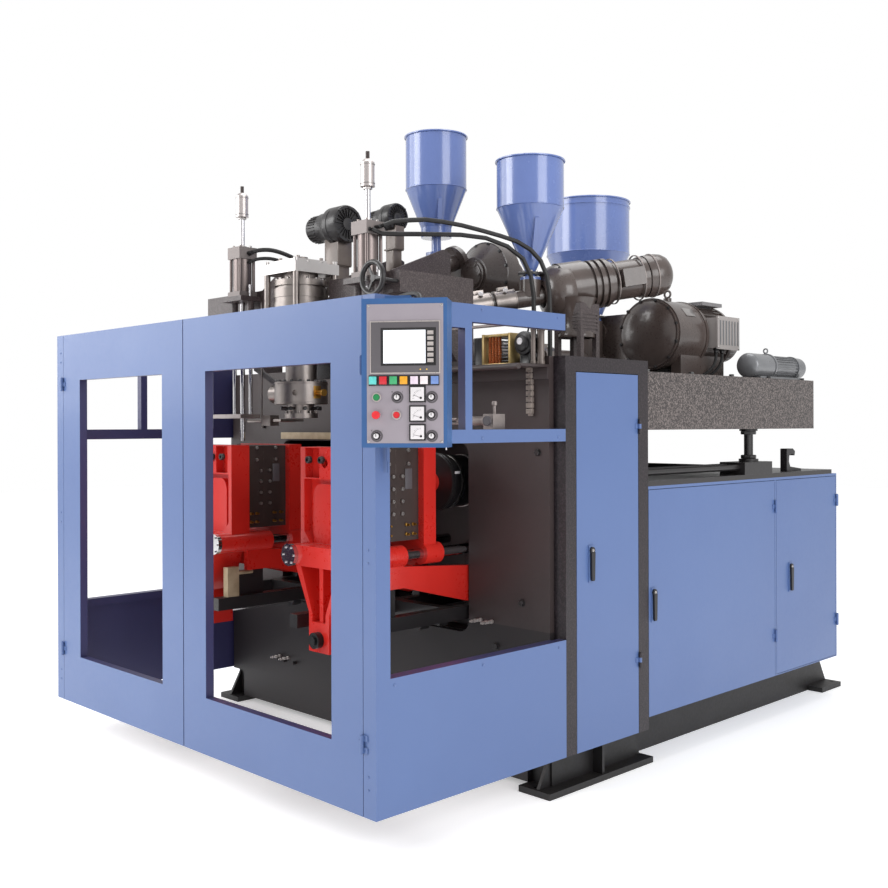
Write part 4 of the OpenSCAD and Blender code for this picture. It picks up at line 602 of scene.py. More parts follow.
class Bench:
    """Adds primitives, shapes them in edit mode and hands back finished pieces."""

    SMOOTH_ANGLE = math.radians(38)
    MERGE = 0.00001

    @staticmethod
    def clear() -> None:
        """Deselects everything."""
        for piece in list(bpy.context.selected_objects):
            piece.select_set(False)

    @classmethod
    def grab(cls, piece: bpy.types.Object) -> None:
        """Selects one piece alone and makes it active."""
        cls.clear()
        piece.select_set(True)
        bpy.context.view_layer.objects.active = piece

    @classmethod
    def rounded(cls, piece: bpy.types.Object, chamfer: float, segments: int = 2,
                angle: float = 30.0) -> None:
        """Rounds the sharp edges of a piece.

        Args:
            piece: the piece.
            chamfer: width of the rounding in millimetres.
            segments: steps of the rounding.
            angle: least angle of an edge that is rounded, in degrees.
        """
        cls.grab(piece)
        bevel = piece.modifiers.new("rounded", "BEVEL")
        bevel.width = chamfer * MM
        bevel.segments = segments
        bevel.limit_method = "ANGLE"
        bevel.angle_limit = math.radians(angle)
        bpy.ops.object.modifier_apply(modifier=bevel.name)

    @classmethod
    def pressed(cls, piece: bpy.types.Object, toward: Point, inset: float, depth: float) -> None:
        """Insets the faces that look one way and pushes the middle in or out.

        Args:
            piece: the piece, with its place still in its own space.
            toward: the direction that the faces look in.
            inset: width of the rim in millimetres.
            depth: how far the middle moves along that direction.
        """
        cls.grab(piece)
        aim = Vector(toward).normalized()
        for face in piece.data.polygons:
            face.select = face.normal.dot(aim) > 0.99
        for edge in piece.data.edges:
            edge.select = False
        for corner in piece.data.vertices:
            corner.select = False
        for face in piece.data.polygons:
            if face.select:
                for index in face.vertices:
                    piece.data.vertices[index].select = True
        bpy.ops.object.mode_set(mode="EDIT")
        bpy.ops.mesh.select_mode(type="FACE")
        bpy.ops.mesh.inset(thickness=inset * MM)
        bpy.ops.mesh.extrude_region_move(TRANSFORM_OT_translate={"value": aim * depth * MM})
        bpy.ops.object.mode_set(mode="OBJECT")

    @classmethod
    def finish(cls, name: str, pose: Matrix, chamfer: float = 0.0, segments: int = 2
               ) -> bpy.types.Object:
        """Applies the active piece's place, rounds it and names it.

        Args:
            name: the piece's name.
            pose: the matrix from the piece's own space to the frame.
            chamfer: width of the rounding in millimetres.
            segments: steps of the rounding.

        Returns:
            The piece.
        """
        piece = bpy.context.view_layer.objects.active
        if chamfer > 0:
            cls.rounded(piece, chamfer, segments)
        piece.data.transform(pose)
        piece.name = piece.data.name = name
        cls.grab(piece)
        bpy.ops.object.shade_smooth_by_angle(angle=cls.SMOOTH_ANGLE)
        return piece

    @classmethod
    def block(cls, name: str, low: Point, high: Point, chamfer: float = 1.0,
              pose: Matrix = DRAWING, press: tuple[Point, float, float] | None = None
              ) -> bpy.types.Object:
        """A block between two corners, rounded, with one face pressed if asked.

        Args:
            name: the piece's name.
            low: lowest corner in millimetres.
            high: highest corner in millimetres.
            chamfer: rounding in millimetres.
            pose: the space that the corners are in.
            press: direction, rim and depth of a pressed face.

        Returns:
            The piece.
        """
        cls.clear()
        lo, hi = Vector(low) * MM, Vector(high) * MM
        bpy.ops.mesh.primitive_cube_add(size=1.0, location=(lo + hi) / 2, scale=hi - lo)
        bpy.ops.object.transform_apply(location=True, rotation=True, scale=True)
        if press:
            cls.pressed(bpy.context.view_layer.objects.active, *press)
        return cls.finish(name, pose, chamfer)

    @classmethod
    def turned(cls, name: str, profile: Sequence[tuple[float, float]], pose: Matrix,
               steps: int = 32, chamfer: float = 0.0) -> bpy.types.Object:
        """Spins a profile of radius and height about a stance's own z axis.

        Args:
            name: the piece's name.
            profile: radius and height pairs in millimetres.
            pose: the stance.
            steps: steps of the spin.
            chamfer: rounding in millimetres.

        Returns:
            The piece.
        """
        cls.clear()
        mesh = bpy.data.meshes.new(name)
        points = [(r * MM, 0.0, z * MM) for r, z in profile]
        mesh.from_pydata(points, [(i, i + 1) for i in range(len(points) - 1)], [])
        piece = bpy.data.objects.new(name, mesh)
        bpy.context.scene.collection.objects.link(piece)
        cls.grab(piece)
        bpy.ops.object.mode_set(mode="EDIT")
        bpy.ops.mesh.select_all(action="SELECT")
        bpy.ops.mesh.spin(steps=steps, angle=math.tau, center=(0, 0, 0), axis=(0, 0, 1))
        bpy.ops.mesh.select_all(action="SELECT")
        bpy.ops.mesh.remove_doubles(threshold=cls.MERGE)
        bpy.ops.mesh.normals_make_consistent(inside=False)
        bpy.ops.object.mode_set(mode="OBJECT")
        return cls.finish(name, pose, chamfer)

    @classmethod
    def hoop(cls, inner: float, outer: float, start: float, width: float, pose: Matrix,
             steps: int, edge: float = 1.0) -> bpy.types.Object:
        """A raised hoop with sloped edges round a turned part.

        Args:
            inner: radius at its foot in millimetres.
            outer: radius of its crown.
            start: where it begins along the stance's z axis.
            width: width at its foot.
            pose: the stance.
            steps: steps of the spin.
            edge: width of each slope.

        Returns:
            The hoop.
        """
        end = start + width
        return cls.turned("hoop", [(inner, start), (outer, start + edge), (outer, end - edge),
                                   (inner, end)], pose, steps)

    @classmethod
    def rod(cls, name: str, start: Point, end: Point, radius: float, steps: int = 16,
            chamfer: float = 0.6, base: Matrix = DRAWING) -> bpy.types.Object:
        """A round bar from one place to another with a chamfer at both ends.

        Args:
            name: the piece's name.
            start: centre of one end in millimetres.
            end: centre of the other end.
            radius: radius in millimetres.
            steps: steps round the bar.
            chamfer: width of the chamfers in millimetres.
            base: the space that the places are in.

        Returns:
            The piece.
        """
        way = Vector(end) - Vector(start)
        length = way.length
        c = min(chamfer, radius * 0.4, length * 0.4)
        profile = [(0, 0), (radius - c, 0), (radius, c), (radius, length - c),
                   (radius - c, length), (0, length)]
        return cls.turned(name, profile, stance(start, way, base=base), steps)

    @classmethod
    def cable(cls, name: str, points: Sequence[Point], radius: float, sides: int = 2,
              pose: Matrix = DRAWING) -> bpy.types.Object:
        """A smooth round cable through some places, made into a mesh.

        Args:
            name: the piece's name.
            points: places in millimetres.
            radius: radius in millimetres.
            sides: how fine the round is.
            pose: the space that the places are in.

        Returns:
            The piece.
        """
        cls.clear()
        curve = bpy.data.curves.new(name, "CURVE")
        curve.dimensions = "3D"
        curve.bevel_depth = radius * MM
        curve.bevel_resolution = sides
        curve.use_fill_caps = True
        curve.resolution_u = 6
        spline = curve.splines.new("NURBS")
        spline.points.add(len(points) - 1)
        for knot, place in zip(spline.points, points):
            knot.co = (*(Vector(place) * MM), 1.0)
        spline.order_u = 3
        spline.use_endpoint_u = True
        piece = bpy.data.objects.new(name, curve)
        bpy.context.scene.collection.objects.link(piece)
        cls.grab(piece)
        bpy.ops.object.convert(target="MESH")
        piece = bpy.context.view_layer.objects.active
        return cls.finish(name, pose)

    @classmethod
    def plate(cls, name: str, outline: Sequence[tuple[float, float]], thickness: float,
              pose: Matrix, chamfer: float = 0.6) -> bpy.types.Object:
        """A flat plate: an outline in a stance's x and y, extruded along its z.

        Args:
            name: the piece's name.
            outline: corners in millimetres.
            thickness: thickness in millimetres.
            pose: the stance.
            chamfer: rounding in millimetres.

        Returns:
            The piece.
        """
        cls.clear()
        mesh = bpy.data.meshes.new(name)
        mesh.from_pydata([(x * MM, y * MM, 0.0) for x, y in outline], [],
                         [tuple(range(len(outline)))])
        piece = bpy.data.objects.new(name, mesh)
        bpy.context.scene.collection.objects.link(piece)
        cls.grab(piece)
        bpy.ops.object.mode_set(mode="EDIT")
        bpy.ops.mesh.select_all(action="SELECT")
        bpy.ops.mesh.extrude_region_move(TRANSFORM_OT_translate={"value": (0, 0, thickness * MM)})
        bpy.ops.mesh.select_all(action="SELECT")
        bpy.ops.mesh.normals_make_consistent(inside=False)
        bpy.ops.object.mode_set(mode="OBJECT")
        return cls.finish(name, pose, chamfer)

    @classmethod
    def repeat(cls, name: str, master: bpy.types.Object, places: Sequence[Matrix]
               ) -> bpy.types.Object:
        """Copies a piece to each place, each copy with its own mesh, and joins them.

        Args:
            name: the joined piece's name.
            master: the piece, still in its own space.
            places: one matrix for each copy.

        Returns:
            The joined piece.
        """
        copies = []
        for place in places:
            copy = master.copy()
            copy.data = master.data.copy()
            copy.data.transform(place)
            bpy.context.scene.collection.objects.link(copy)
            copies.append(copy)
        bpy.data.objects.remove(master)
        return cls.joined(name, copies)

    @classmethod
    def joined(cls, name: str, pieces: Sequence[bpy.types.Object]) -> bpy.types.Object:
        """Joins finished pieces into one object.

        Args:
            name: the joined piece's name.
            pieces: the pieces.

        Returns:
            The joined piece.
        """
        cls.clear()
        for piece in pieces:
            piece.select_set(True)
        bpy.context.view_layer.objects.active = pieces[0]
        if len(pieces) > 1:
            bpy.ops.object.join()
        whole = bpy.context.view_layer.objects.active
        whole.name = whole.data.name = name
        return whole


class Head(Enum):
    """Kinds of screw head."""

    HEX = "hexagon head on a washer"
    SOCKET = "socket cap"
    DOME = "dome head"


class Fixings:
    """Screw heads, modelled once and copied to where they sit."""

    @staticmethod
    def master(kind: Head, size: float) -> bpy.types.Object:
        """Models one head, standing on its own z axis.

        Args:
            kind: the kind of head.
            size: thread size in millimetres.

        Returns:
            The head, in its own space.
        """
        r = size * 0.92
        if kind is Head.HEX:
            piece = Bench.turned(
                "head", [(0, 0), (r * 1.25, 0), (r * 1.25, size * 0.16), (r, size * 0.16),
                (r, size * 0.72), (r * 0.84, size * 0.84), (0, size * 0.84)], IDENTITY, steps=6)
        elif kind is Head.SOCKET:
            piece = Bench.turned(
                "head", [(0, 0), (r * 0.9, 0), (r * 0.9, size * 0.8), (r * 0.8, size * 0.92),
                (r * 0.45, size * 0.92), (r * 0.42, size * 0.45), (0, size * 0.45)], IDENTITY,
                steps=12)
        else:
            piece = Bench.turned(
                "head", [(0, 0), (r, 0), (r * 0.92, size * 0.22), (r * 0.6, size * 0.42),
                (0, size * 0.5)], IDENTITY, steps=12)
        return piece

    @classmethod
    def set(cls, name: str, kind: Head, size: float, places: Sequence[Matrix]
            ) -> bpy.types.Object:
        """Puts one kind of head at every place and joins them into one piece."""
        return Bench.repeat(name, cls.master(kind, size), places)


class Assembly:
    """Base of the sub-assemblies: settles pieces on bodies with their finishes."""

    shop: PaintShop

    def settle(self, piece: bpy.types.Object, body: str, finish: Finish,
               slot: str = "") -> bpy.types.Object:
        """Paints a piece, lets it ride on a body and reports it.

        Args:
            piece: the finished piece.
            body: name of the CAD body it moves with.
            finish: its finish.
            slot: not used.

        Returns:
            The piece.
        """
        self.shop.paint(piece, finish)
        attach(piece, body)
        LOG.info("%s on %s, %s, %d faces", piece.name, body, finish.name,
                 len(piece.data.polygons))
        return piece

    def fix(self, piece: bpy.types.Object, finish: Finish, slot: str = "") -> bpy.types.Object:
        """Settles a piece on the standing machine; returns the piece."""
        return self.settle(piece, "machine", finish, slot)


# ---------------------------------------------------------------- studio


@dataclass
class Studio:
    """Camera, floor and soft lights."""

    eye: Point = (4.083, -4.399, 1.600)
    forward: Point = (-0.7138, 0.7003, 0.0)
    focal: float = 44.01
    shift_down: float = -0.0210
    roll: float = -0.0029
    sensor: float = 36.0
    far: float = 100.0
    floor_size: float = 44.0

    def camera(self) -> bpy.types.Object:
        """Sets the camera at the photograph's viewpoint.

        Returns:
            The camera.
        """
        data = bpy.data.cameras.new("front_right_camera")
        data.lens = self.focal
        data.sensor_width = self.sensor
        data.shift_y = self.shift_down
        data.clip_end = self.far
        camera = bpy.data.objects.new("front_right_camera", data)
        bpy.context.scene.collection.objects.link(camera)
        camera.location = self.eye
        turn = Vector(self.forward).to_track_quat("-Z", "Y").to_matrix().to_4x4()
        tip = Matrix.Rotation(self.roll, 4, "Z")
        camera.matrix_world = Matrix.Translation(Vector(self.eye)) @ turn @ tip
        bpy.context.scene.camera = camera
        return camera

    def light(self, name: str, place: Point, aim: Point, size: float, power: float) -> None:
        """Hangs one soft square light that looks at a place.

        Args:
            name: the light's name.
            place: where it hangs, in metres.
            aim: the place it looks at, in metres.
            size: side of the square in metres.
            power: power in watts.
        """
        data = bpy.data.lights.new(name, "AREA")
        data.shape = "SQUARE"
        data.size = size
        data.energy = power
        lamp = bpy.data.objects.new(name, data)
        bpy.context.scene.collection.objects.link(lamp)
        lamp.location = place
        way = Vector(aim) - Vector(place)
        lamp.rotation_euler = way.to_track_quat("-Z", "Y").to_euler()

    def build(self, shop: PaintShop) -> None:
        """Makes the camera, the world, the floor and the lights.

        Args:
            shop: the paint shop that paints the floor.
        """
        scene = bpy.context.scene
        scene.view_settings.view_transform = "Standard"
        self.camera()
        world = bpy.data.worlds.new("studio_white")
        world.use_nodes = True
        s = Sheet(world.node_tree)
        seen = s.add("ShaderNodeLightPath").outputs["Is Camera Ray"]
        back = s.add("ShaderNodeBackground", {"Color": (1.0, 1.0, 1.0, 1.0),
                                              "Strength": s.blend(seen, 0.72, 1.0)})
        out = s.add("ShaderNodeOutputWorld")
        s.tree.links.new(back.outputs[0], out.inputs[0])
        scene.world = world
        self.light("key_front_left", (-3.6, -6.2, 4.6), (0.0, 0.0, 1.2), 3.2, 215.0)
        self.light("fill_right", (7.0, -1.0, 3.4), (0.2, 0.4, 1.3), 3.6, 170.0)
        self.light("top_soft", (0.0, 0.5, 6.5), (0.0, 0.3, 1.0), 4.0, 150.0)
        self.light("left_panel", (-8.6, -5.6, 4.2), (0.0, -1.0, 1.8), 5.0, 190.0)
        Bench.clear()
        bpy.ops.mesh.primitive_grid_add(x_subdivisions=8, y_subdivisions=8, size=self.floor_size)
        floor = bpy.context.view_layer.objects.active
        floor.name = floor.data.name = "studio_floor"
        finish = Finish("floor_white", (252, 252, 252), (248, 248, 248), 0.5, 0.4, (0.7, 0.85),
                        12.0, relief=Relief.MOULDED, relief_depth=0.00005, glow=0.36)
        shop.paint(floor, finish)
        LOG.info("studio ready")


# ---------------------------------------------------------------- CAD nodes


@dataclass
class FramePaint(Assembly):
    """Gives every CAD node its procedural finish."""

    shop: PaintShop
    plan: dict[str, Finish] = field(default_factory=dict)

    def zoned(self) -> None:
        """Finishes that change inside a node, by boxes of the drawing; some boxes are painted
        shade.
        """
        p = Palette
        dark = (26, 25, 27)
        # Painted shade: navy is painted on every face set back from the outer skin of the side
        # guards and front doors, on their edge returns, recesses and gaps.
        gap_shade = (52, 52, 92)
        self.plan["side_guard_left"] = p.SHEET_BLUE.dressed(
            Zone((-1280.5, 44, 174), (-1200, 1078, 2074), gap_shade), name="left_guard_enamel_gap_shade")
        self.plan["side_guard_right"] = p.SHEET_BLUE.dressed(
            Zone((1200, 44, 174), (1280.5, 1078, 2074), gap_shade), name="right_guard_enamel_gap_shade")
        for side, low, high in (("left", -1281, 0), ("right", -60, 1281)):
            self.plan["front_door_" + side] = p.SHEET_BLUE.dressed(
                Zone((low, 1.2, 173), (high, 60, 2075), gap_shade), name=f"{side}_door_enamel_gap_shade")
        self.plan["main_motor"] = p.DRIVE_BROWN.dressed(
            Zone((980, 2630, 2000), (1090, 2870, 2200), (158, 152, 150), 0.2, 0.42),
            Zone((732, 2640, 2250), (985, 2860, 2300), (120, 118, 120), 0.1, 0.4),
            name="main_motor_enamel")
        self.plan["pneumatics"] = p.ALUMINIUM
        self.plan["die_head"] = p.STEEL.dressed(
            Zone((-120, 640, 1925), (120, 830, 2062), (70, 64, 62), 0.4, 0.45),
            Zone((126, 600, 1730), (190, 670, 1790), (186, 142, 70), 1.0, 0.3),
            Zone((-140, 480, 2328), (140, 780, 2400), (206, 202, 200), 0.7, 0.36),
            name="die_head_steel")
        rods = []
        for x in (-500, 500):
            rods.append(Zone((x - 60, 300, 600), (x + 60, 356, 740), (22, 22, 23), 0.2, 0.32))
        self.plan["tie_rods_left"] = p.CHROME.dressed(rods[0], name="tie_rods_left_chrome")
        self.plan["tie_rods_right"] = p.CHROME.dressed(rods[1], name="tie_rods_right_chrome")
        heads = []
        for x in (-500, 500):
            heads.append(
                Zone((x - 54, 581, 2459.5), (x + 54, 689, 2521), (132, 124, 122), 0.35, 0.5))
            heads.append(
                Zone((x - 54, 581, 2264), (x + 54, 689, 2292), (132, 124, 122), 0.35, 0.5))
            heads.append(Zone((x + 53.6, 600, 2470), (x + 100, 670, 2510), dark, 0.0, 0.4))
            heads.append(
                Zone((x - 54, 570, 2292), (x + 54, 700, 2459.5), (122, 112, 110), 0.9, 0.34))
        self.plan["blow_cylinders"] = p.STEEL.dressed(*heads, name="blow_cylinder_parts")
        # The lower bulkhead, below 700 mm behind the clamp carriages, is a darker plate, and it
        # is coloured darker still as painted shade.
        self.plan["front_bulkhead"] = p.BULKHEAD.dressed(
            Zone((-1500, 500, -10), (1500, 1500, 700), (34, 29, 31), 0.0, 0.52),
            name="bulkhead_enamel_low_shade")
        self.plan["barrel_blowers"] = p.BLACK.dressed(
            Zone((-80, 800, 2200), (80, 960, 2520), (122, 116, 114), 0.7, 0.4),
            Zone((-60, 1210, 2300), (60, 1270, 2592), (122, 116, 114), 0.7, 0.4),
            name="blower_enamel")
        self.plan["rear_cabinet"] = p.SHEET_BLUE.dressed(
            Zone((-1283, 1680, 1310.1), (1283, 3545, 1340), (40, 37, 38), 0.0, 0.45),
            Zone((-1256, 1715, 250), (1256, 3574, 1284), (96, 98, 100), 0.2, 0.5),
            name="cabinet_enamel")
        for side, x in (("left", -500), ("right", 500)):
            self.plan["blow_pin_" + side] = p.CHROME.dressed(
                Zone((x - 240, 560, 1639), (x + 240, 690, 1661), (176, 168, 166), 0.9, 0.35),
                Zone((x - 40, 590, 2679), (x + 40, 680, 2806), (196, 188, 186), 0.85, 0.36),
                Zone((x - 12, 620, 2806), (x + 12, 650, 2850), (66, 58, 56), 0.3, 0.5),
                name=f"blow_rod_{side}_parts")

    def choose(self) -> None:
        """Chooses the plain finishes, node by node."""
        p = Palette
        groups = {
            p.SHEET_BLUE: ("side_guard_right", "side_guard_left", "front_door_left",
                           "front_door_right", "column_door", "rear_door_main",
                           "rear_door_small"), p.BOX_BLUE: ("control_box",),
            p.HOPPER_BLUE: ("main_hopper", "satellite_hoppers"), p.HAMMER: ("extruder_deck",),
            p.HAMMER_SOFT: ("extruder_supports", "blow_beam"),
            p.HAMMER_DARK: ("frame_columns", "head_yoke"), p.BASE_BLACK: ("base_frame",),
            p.DRIVE_BROWN: ("main_gearbox", "satellite_gearmotors", "extruder_barrels"),
            p.BLACK: ("deck_lifts", "shuttle_rails", "carriage_left", "carriage_right",
                      "handwheel"),
            p.RED: ("front_platen_left", "front_platen_right", "rear_platen_left",
                    "rear_platen_right"), p.STEEL: ("heater_bands", "parison_knife"),
            p.MOULD: ("mould_front_left", "mould_front_right", "mould_rear_left",
                      "mould_rear_right"), p.PUMP_GREY: ("pump_motor",), p.RUBBER: ("hoses",),
            p.PANEL: ("control_panel",), p.BEZEL: ("panel_instruments",),
            p.lamp("green_button", (20, 128, 70)): ("green_button",),
            p.lamp("red_button", (206, 24, 34)): ("red_button",),
            # The emergency stop is no lamp: the lamp finish's faint glow on it is painted light.
            p.lamp("stop_red_painted_glow", (222, 34, 44)): ("emergency_stop",),
            p.BLACK_PLASTIC: ("handle_column", "handle_rear_main", "handle_rear_small"),
            p.WHITE: tuple(f"selector_knob_{i}" for i in range(1, 6)),}
        for finish, nodes in groups.items():
            for node in nodes:
                self.plan[node] = finish

    def build(self) -> None:
        """Paints every CAD node."""
        self.choose()
        self.zoned()
        for name, node in sorted(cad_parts.items()):
            finish = self.plan.get(name)
            if finish is None:
                LOG.warning("no finish planned for %s", name)
                finish = Palette.HAMMER
            self.shop.paint(node, finish)
        LOG.info("%d CAD nodes painted", len(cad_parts))


# ---------------------------------------------------------------- control panel


@dataclass
class ControlPanel(Assembly):
    """Screen, lamps, meters and legends on the swivelling control box."""

    shop: PaintShop
    origin: Point = (1369.0, -137.0, 1524.0)
    turn: float = 37.5
    lamp_x: tuple[float, ...] = (41, 77, 113, 149, 186, 220, 257)
    meter_z: tuple[float, ...] = (156, 89, 25)
    knobs: tuple[tuple[float, float], ...] = (
        (126, 173), (246, 173), (246, 112), (54, 40), (246, 40))

    def face(self) -> Matrix:
        """The matrix of the box's face, x along it, y inward, z up."""
        return (DRAWING @ Matrix.Translation(Vector(self.origin) * MM)
                @ Matrix.Rotation(math.radians(self.turn), 4, "Z"))

    def screen(self, pose: Matrix) -> None:
        """Operator screen: silver rim, grey bezel, lit display, keys and two lamps.

        Args:
            pose: the matrix of the box's face.
        """
        rim = Bench.block(
            "screen_rim", (31, -6.2, 254), (276, -1.05, 435), 1.5, pose, ((0, -1, 0), 5.0, -0.8))
        self.fix(rim, Palette.TRIM, "panel_grey")
        bezel = Bench.block("screen_bezel", (36, -9.6, 259), (271, -7.05, 430), 1.2, pose)
        self.fix(bezel, Palette.BEZEL, "panel_grey")
        frame_in = Bench.block("screen_surround", (70, -10.6, 281), (262, -9.65, 411), 0.4, pose,
                               ((0, -1, 0), 4.0, -0.4))
        self.fix(frame_in, Palette.BLACK_PLASTIC, "panel_grey")
        lit = Bench.block("screen_display", (79, -11.4, 289), (226, -10.65, 403), 0.3, pose)
        self.fix(lit, Palette.SCREEN)
        key = Bench.block(
            "key", (-10.5, -2.2, -6.5), (10.5, 0, 6.5), 1.0, IDENTITY, ((0, -1, 0), 2.0, -0.5))
        places = [pose @ Matrix.Translation(Vector((243, -10.7, 298.5 + i * 19)) * MM)
                  for i in range(6)]
        self.fix(Bench.repeat("screen_keys", key, places), Palette.TRIM, "panel_grey")
        dot = Bench.turned("dot", [(0, 0), (2.6, 0), (2.4, 1.4), (0, 2.0)], IDENTITY, 12)
        places = [stance((x, -10.7, 268), (0, -1, 0), base=pose) for x in (208, 230)]
        self.fix(Bench.repeat("screen_status_lamps", dot, places),
                 Palette.lamp("amber", (240, 196, 84)))

    def lamps(self, pose: Matrix) -> None:
        """Row of square lamps in a black bar.

        Args:
            pose: the matrix of the box's face.
        """
        bar = Bench.block("lamp_bar", (26, -5.0, 213), (272, -1.05, 249), 1.0, pose)
        self.fix(bar, Palette.BLACK_PLASTIC, "panel_grey")
        colours = (("teal", (96, 206, 200)), ("red", (204, 30, 44)), ("green", (62, 168, 110)),
                   ("yellow", (232, 164, 30)), ("pearl", (232, 214, 230)),
                   ("white", (240, 228, 232)), ("blue", (112, 142, 204)))
        for (name, colour), x in zip(colours, self.lamp_x):
            cap = Bench.block("lamp_cap_" + name, (x - 13, -11.0, 217.5), (x + 13, -5.05, 244.5),
                              2.2, pose, ((0, -1, 0), 3.5, 0.6))
            self.fix(cap, Palette.lamp(name, colour))

    def meters(self, pose: Matrix) -> None:
        """Three square meters with arcs, ticks, a needle and a black eye.

        Args:
            pose: the matrix of the box's face.
        """
        face_strokes, needles, eyes, rims, faces = [], [], [], [], []
        for i, z in enumerate(self.meter_z):
            rims.append(Bench.block(f"rim{i}", (168, -8.2, z - 1), (225, -1.05, z + 56), 1.5,
                                    pose, ((0, -1, 0), 3.5, -1.0)))
            faces.append(
                Bench.block(f"face{i}", (173, -9.4, z + 4), (220, -7.5, z + 51), 0.8, pose))
            eye = (209.0, z + 14.0)
            eyes.append(Bench.turned(f"eye{i}", [(0, 0), (4.2, 0), (3.8, 1.4), (0, 2.0)],
                                     stance((eye[0], -9.5, eye[1]), (0, -1, 0), base=pose), 14))
            for k in range(9):
                a = math.radians(95 + k * 11)
                inner, outer = 24.0, 28.0 if k % 2 else 30.0
                start = (eye[0] + inner * math.cos(a), -9.6, eye[1] + inner * math.sin(a))
                end = (eye[0] + outer * math.cos(a), -9.6, eye[1] + outer * math.sin(a))
                face_strokes.append(Bench.rod("tick", start, end, 0.35, 4, 0.1, pose))
            a = math.radians(158 + 6 * i)
            tip = (eye[0] + 27 * math.cos(a), -9.9, eye[1] + 27 * math.sin(a))
            needles.append(Bench.rod("needle", (eye[0], -9.9, eye[1]), tip, 0.45, 6, 0.1, pose))
        self.fix(Bench.joined("meter_rims", rims), Palette.BLACK_PLASTIC)
        self.fix(Bench.joined("meter_faces", faces), Palette.WHITE)
        self.fix(Bench.joined("meter_marks", face_strokes + needles + eyes),
                 Palette.BLACK_PLASTIC)

    def controls(self, pose: Matrix) -> None:
        """Skirts and pointers of the knobs, collars of the buttons, dials and screws.

        Args:
            pose: the matrix of the box's face.
        """
        for i, (x, z) in enumerate(self.knobs, 1):
            skirt = Bench.turned(
                f"knob_skirt_{i}", [(9.0, 5.35), (13.6, 5.35), (13.6, 7.0), (11.6, 11.6),
                (9.0, 11.6)], stance((x, 0, z), (0, -1, 0), base=pose), 28)
            self.settle(skirt, f"knob_{i}", Palette.BLACK_PLASTIC, "knob_plastic")
            bar = Bench.block(f"knob_pointer_{i}", (x - 1.1, -21.6, z - 2), (x + 1.1, -20.1,
                                                                          z + 8.0), 0.4, pose)
            self.settle(bar, f"knob_{i}", Palette.BLACK_PLASTIC, "knob_plastic")
        collar = Bench.turned(
            "collar", [(12.2, 7.05), (16.4, 7.05), (15.4, 8.6), (12.2, 8.6)], IDENTITY, 28)
        places = [stance((x, 0, z), (0, -1, 0), base=pose) for x, z in ((54, 173), (124, 112))]
        self.fix(Bench.repeat("button_collars", collar, places), Palette.TRIM, "panel_grey")
        dial = Bench.turned(
            "dial", [(15.0, 1.05), (21.0, 1.05), (21.0, 1.5), (15.0, 1.5)], IDENTITY, 28)
        places = [stance((x, 0, z), (0, -1, 0), base=pose) for x, z in self.knobs]
        self.fix(Bench.repeat("knob_dials", dial, places), Palette.BEZEL, "panel_grey")
        screw = Fixings.set(
            "panel_screws", Head.DOME, 5.0, [stance((x, -1.05, z), (0, -1, 0), base=pose)
            for x in (25, 280) for z in (21, 488)])
        self.fix(screw, Palette.ZINC)

    def numbers(self, pose: Matrix) -> None:
        """Plain dial numbers round two of the knobs.

        Args:
            pose: the matrix of the box's face.
        """
        for (x, z), label in (((54, 40), "knob_4"), ((126, 173), "knob_1")):
            for text, a in (("0", 135), ("1", 45)):
                self.number(text, label, x, z, a, pose)

    def number(self, text: str, label: str, x: float, z: float, angle: float,
               pose: Matrix) -> None:
        """One engraved dial number at an angle round a knob.

        Args:
            text: the number.
            label: the knob's name.
            x: place of the knob across the face, in millimetres.
            z: place of the knob up the face.
            angle: angle of the number round the knob in degrees.
            pose: the matrix of the box's face.
        """
        Bench.clear()
        curve = bpy.data.curves.new("digit", "FONT")
        curve.body = text
        curve.size = 8 * MM
        curve.extrude = 0.15 * MM
        curve.align_x = "CENTER"
        curve.align_y = "CENTER"
        piece = bpy.data.objects.new("digit", curve)
        bpy.context.scene.collection.objects.link(piece)
        Bench.grab(piece)
        bpy.ops.object.convert(target="MESH")
        piece = bpy.context.view_layer.objects.active
        a = math.radians(angle)
        spot = (x + 26 * math.cos(a), -1.25, z + 26 * math.sin(a))
        place = (pose @ Matrix.Translation(Vector(spot) * MM)
                 @ Matrix.Rotation(math.radians(90), 4, "X"))
        piece = Bench.finish(f"dial_number_{label}_{text}", place)
        self.fix(piece, Palette.BLACK_PLASTIC)

    def build(self) -> None:
        """Builds the whole panel."""
        pose = self.face()
        self.screen(pose)
        self.lamps(pose)
        self.meters(pose)
        self.controls(pose)
        self.numbers(pose)
        seal = Bench.cable(
            "box_cable", [(1500, 20, 2030), (1480, 40, 2060), (1400, 60, 2068), (1330, 80, 2066),
            (1262, 110, 2062), (1250, 130, 2052)], 9.0)
        self.fix(seal, Palette.RUBBER, "hose_rubber")


# ---------------------------------------------------------------- clamps and moulds


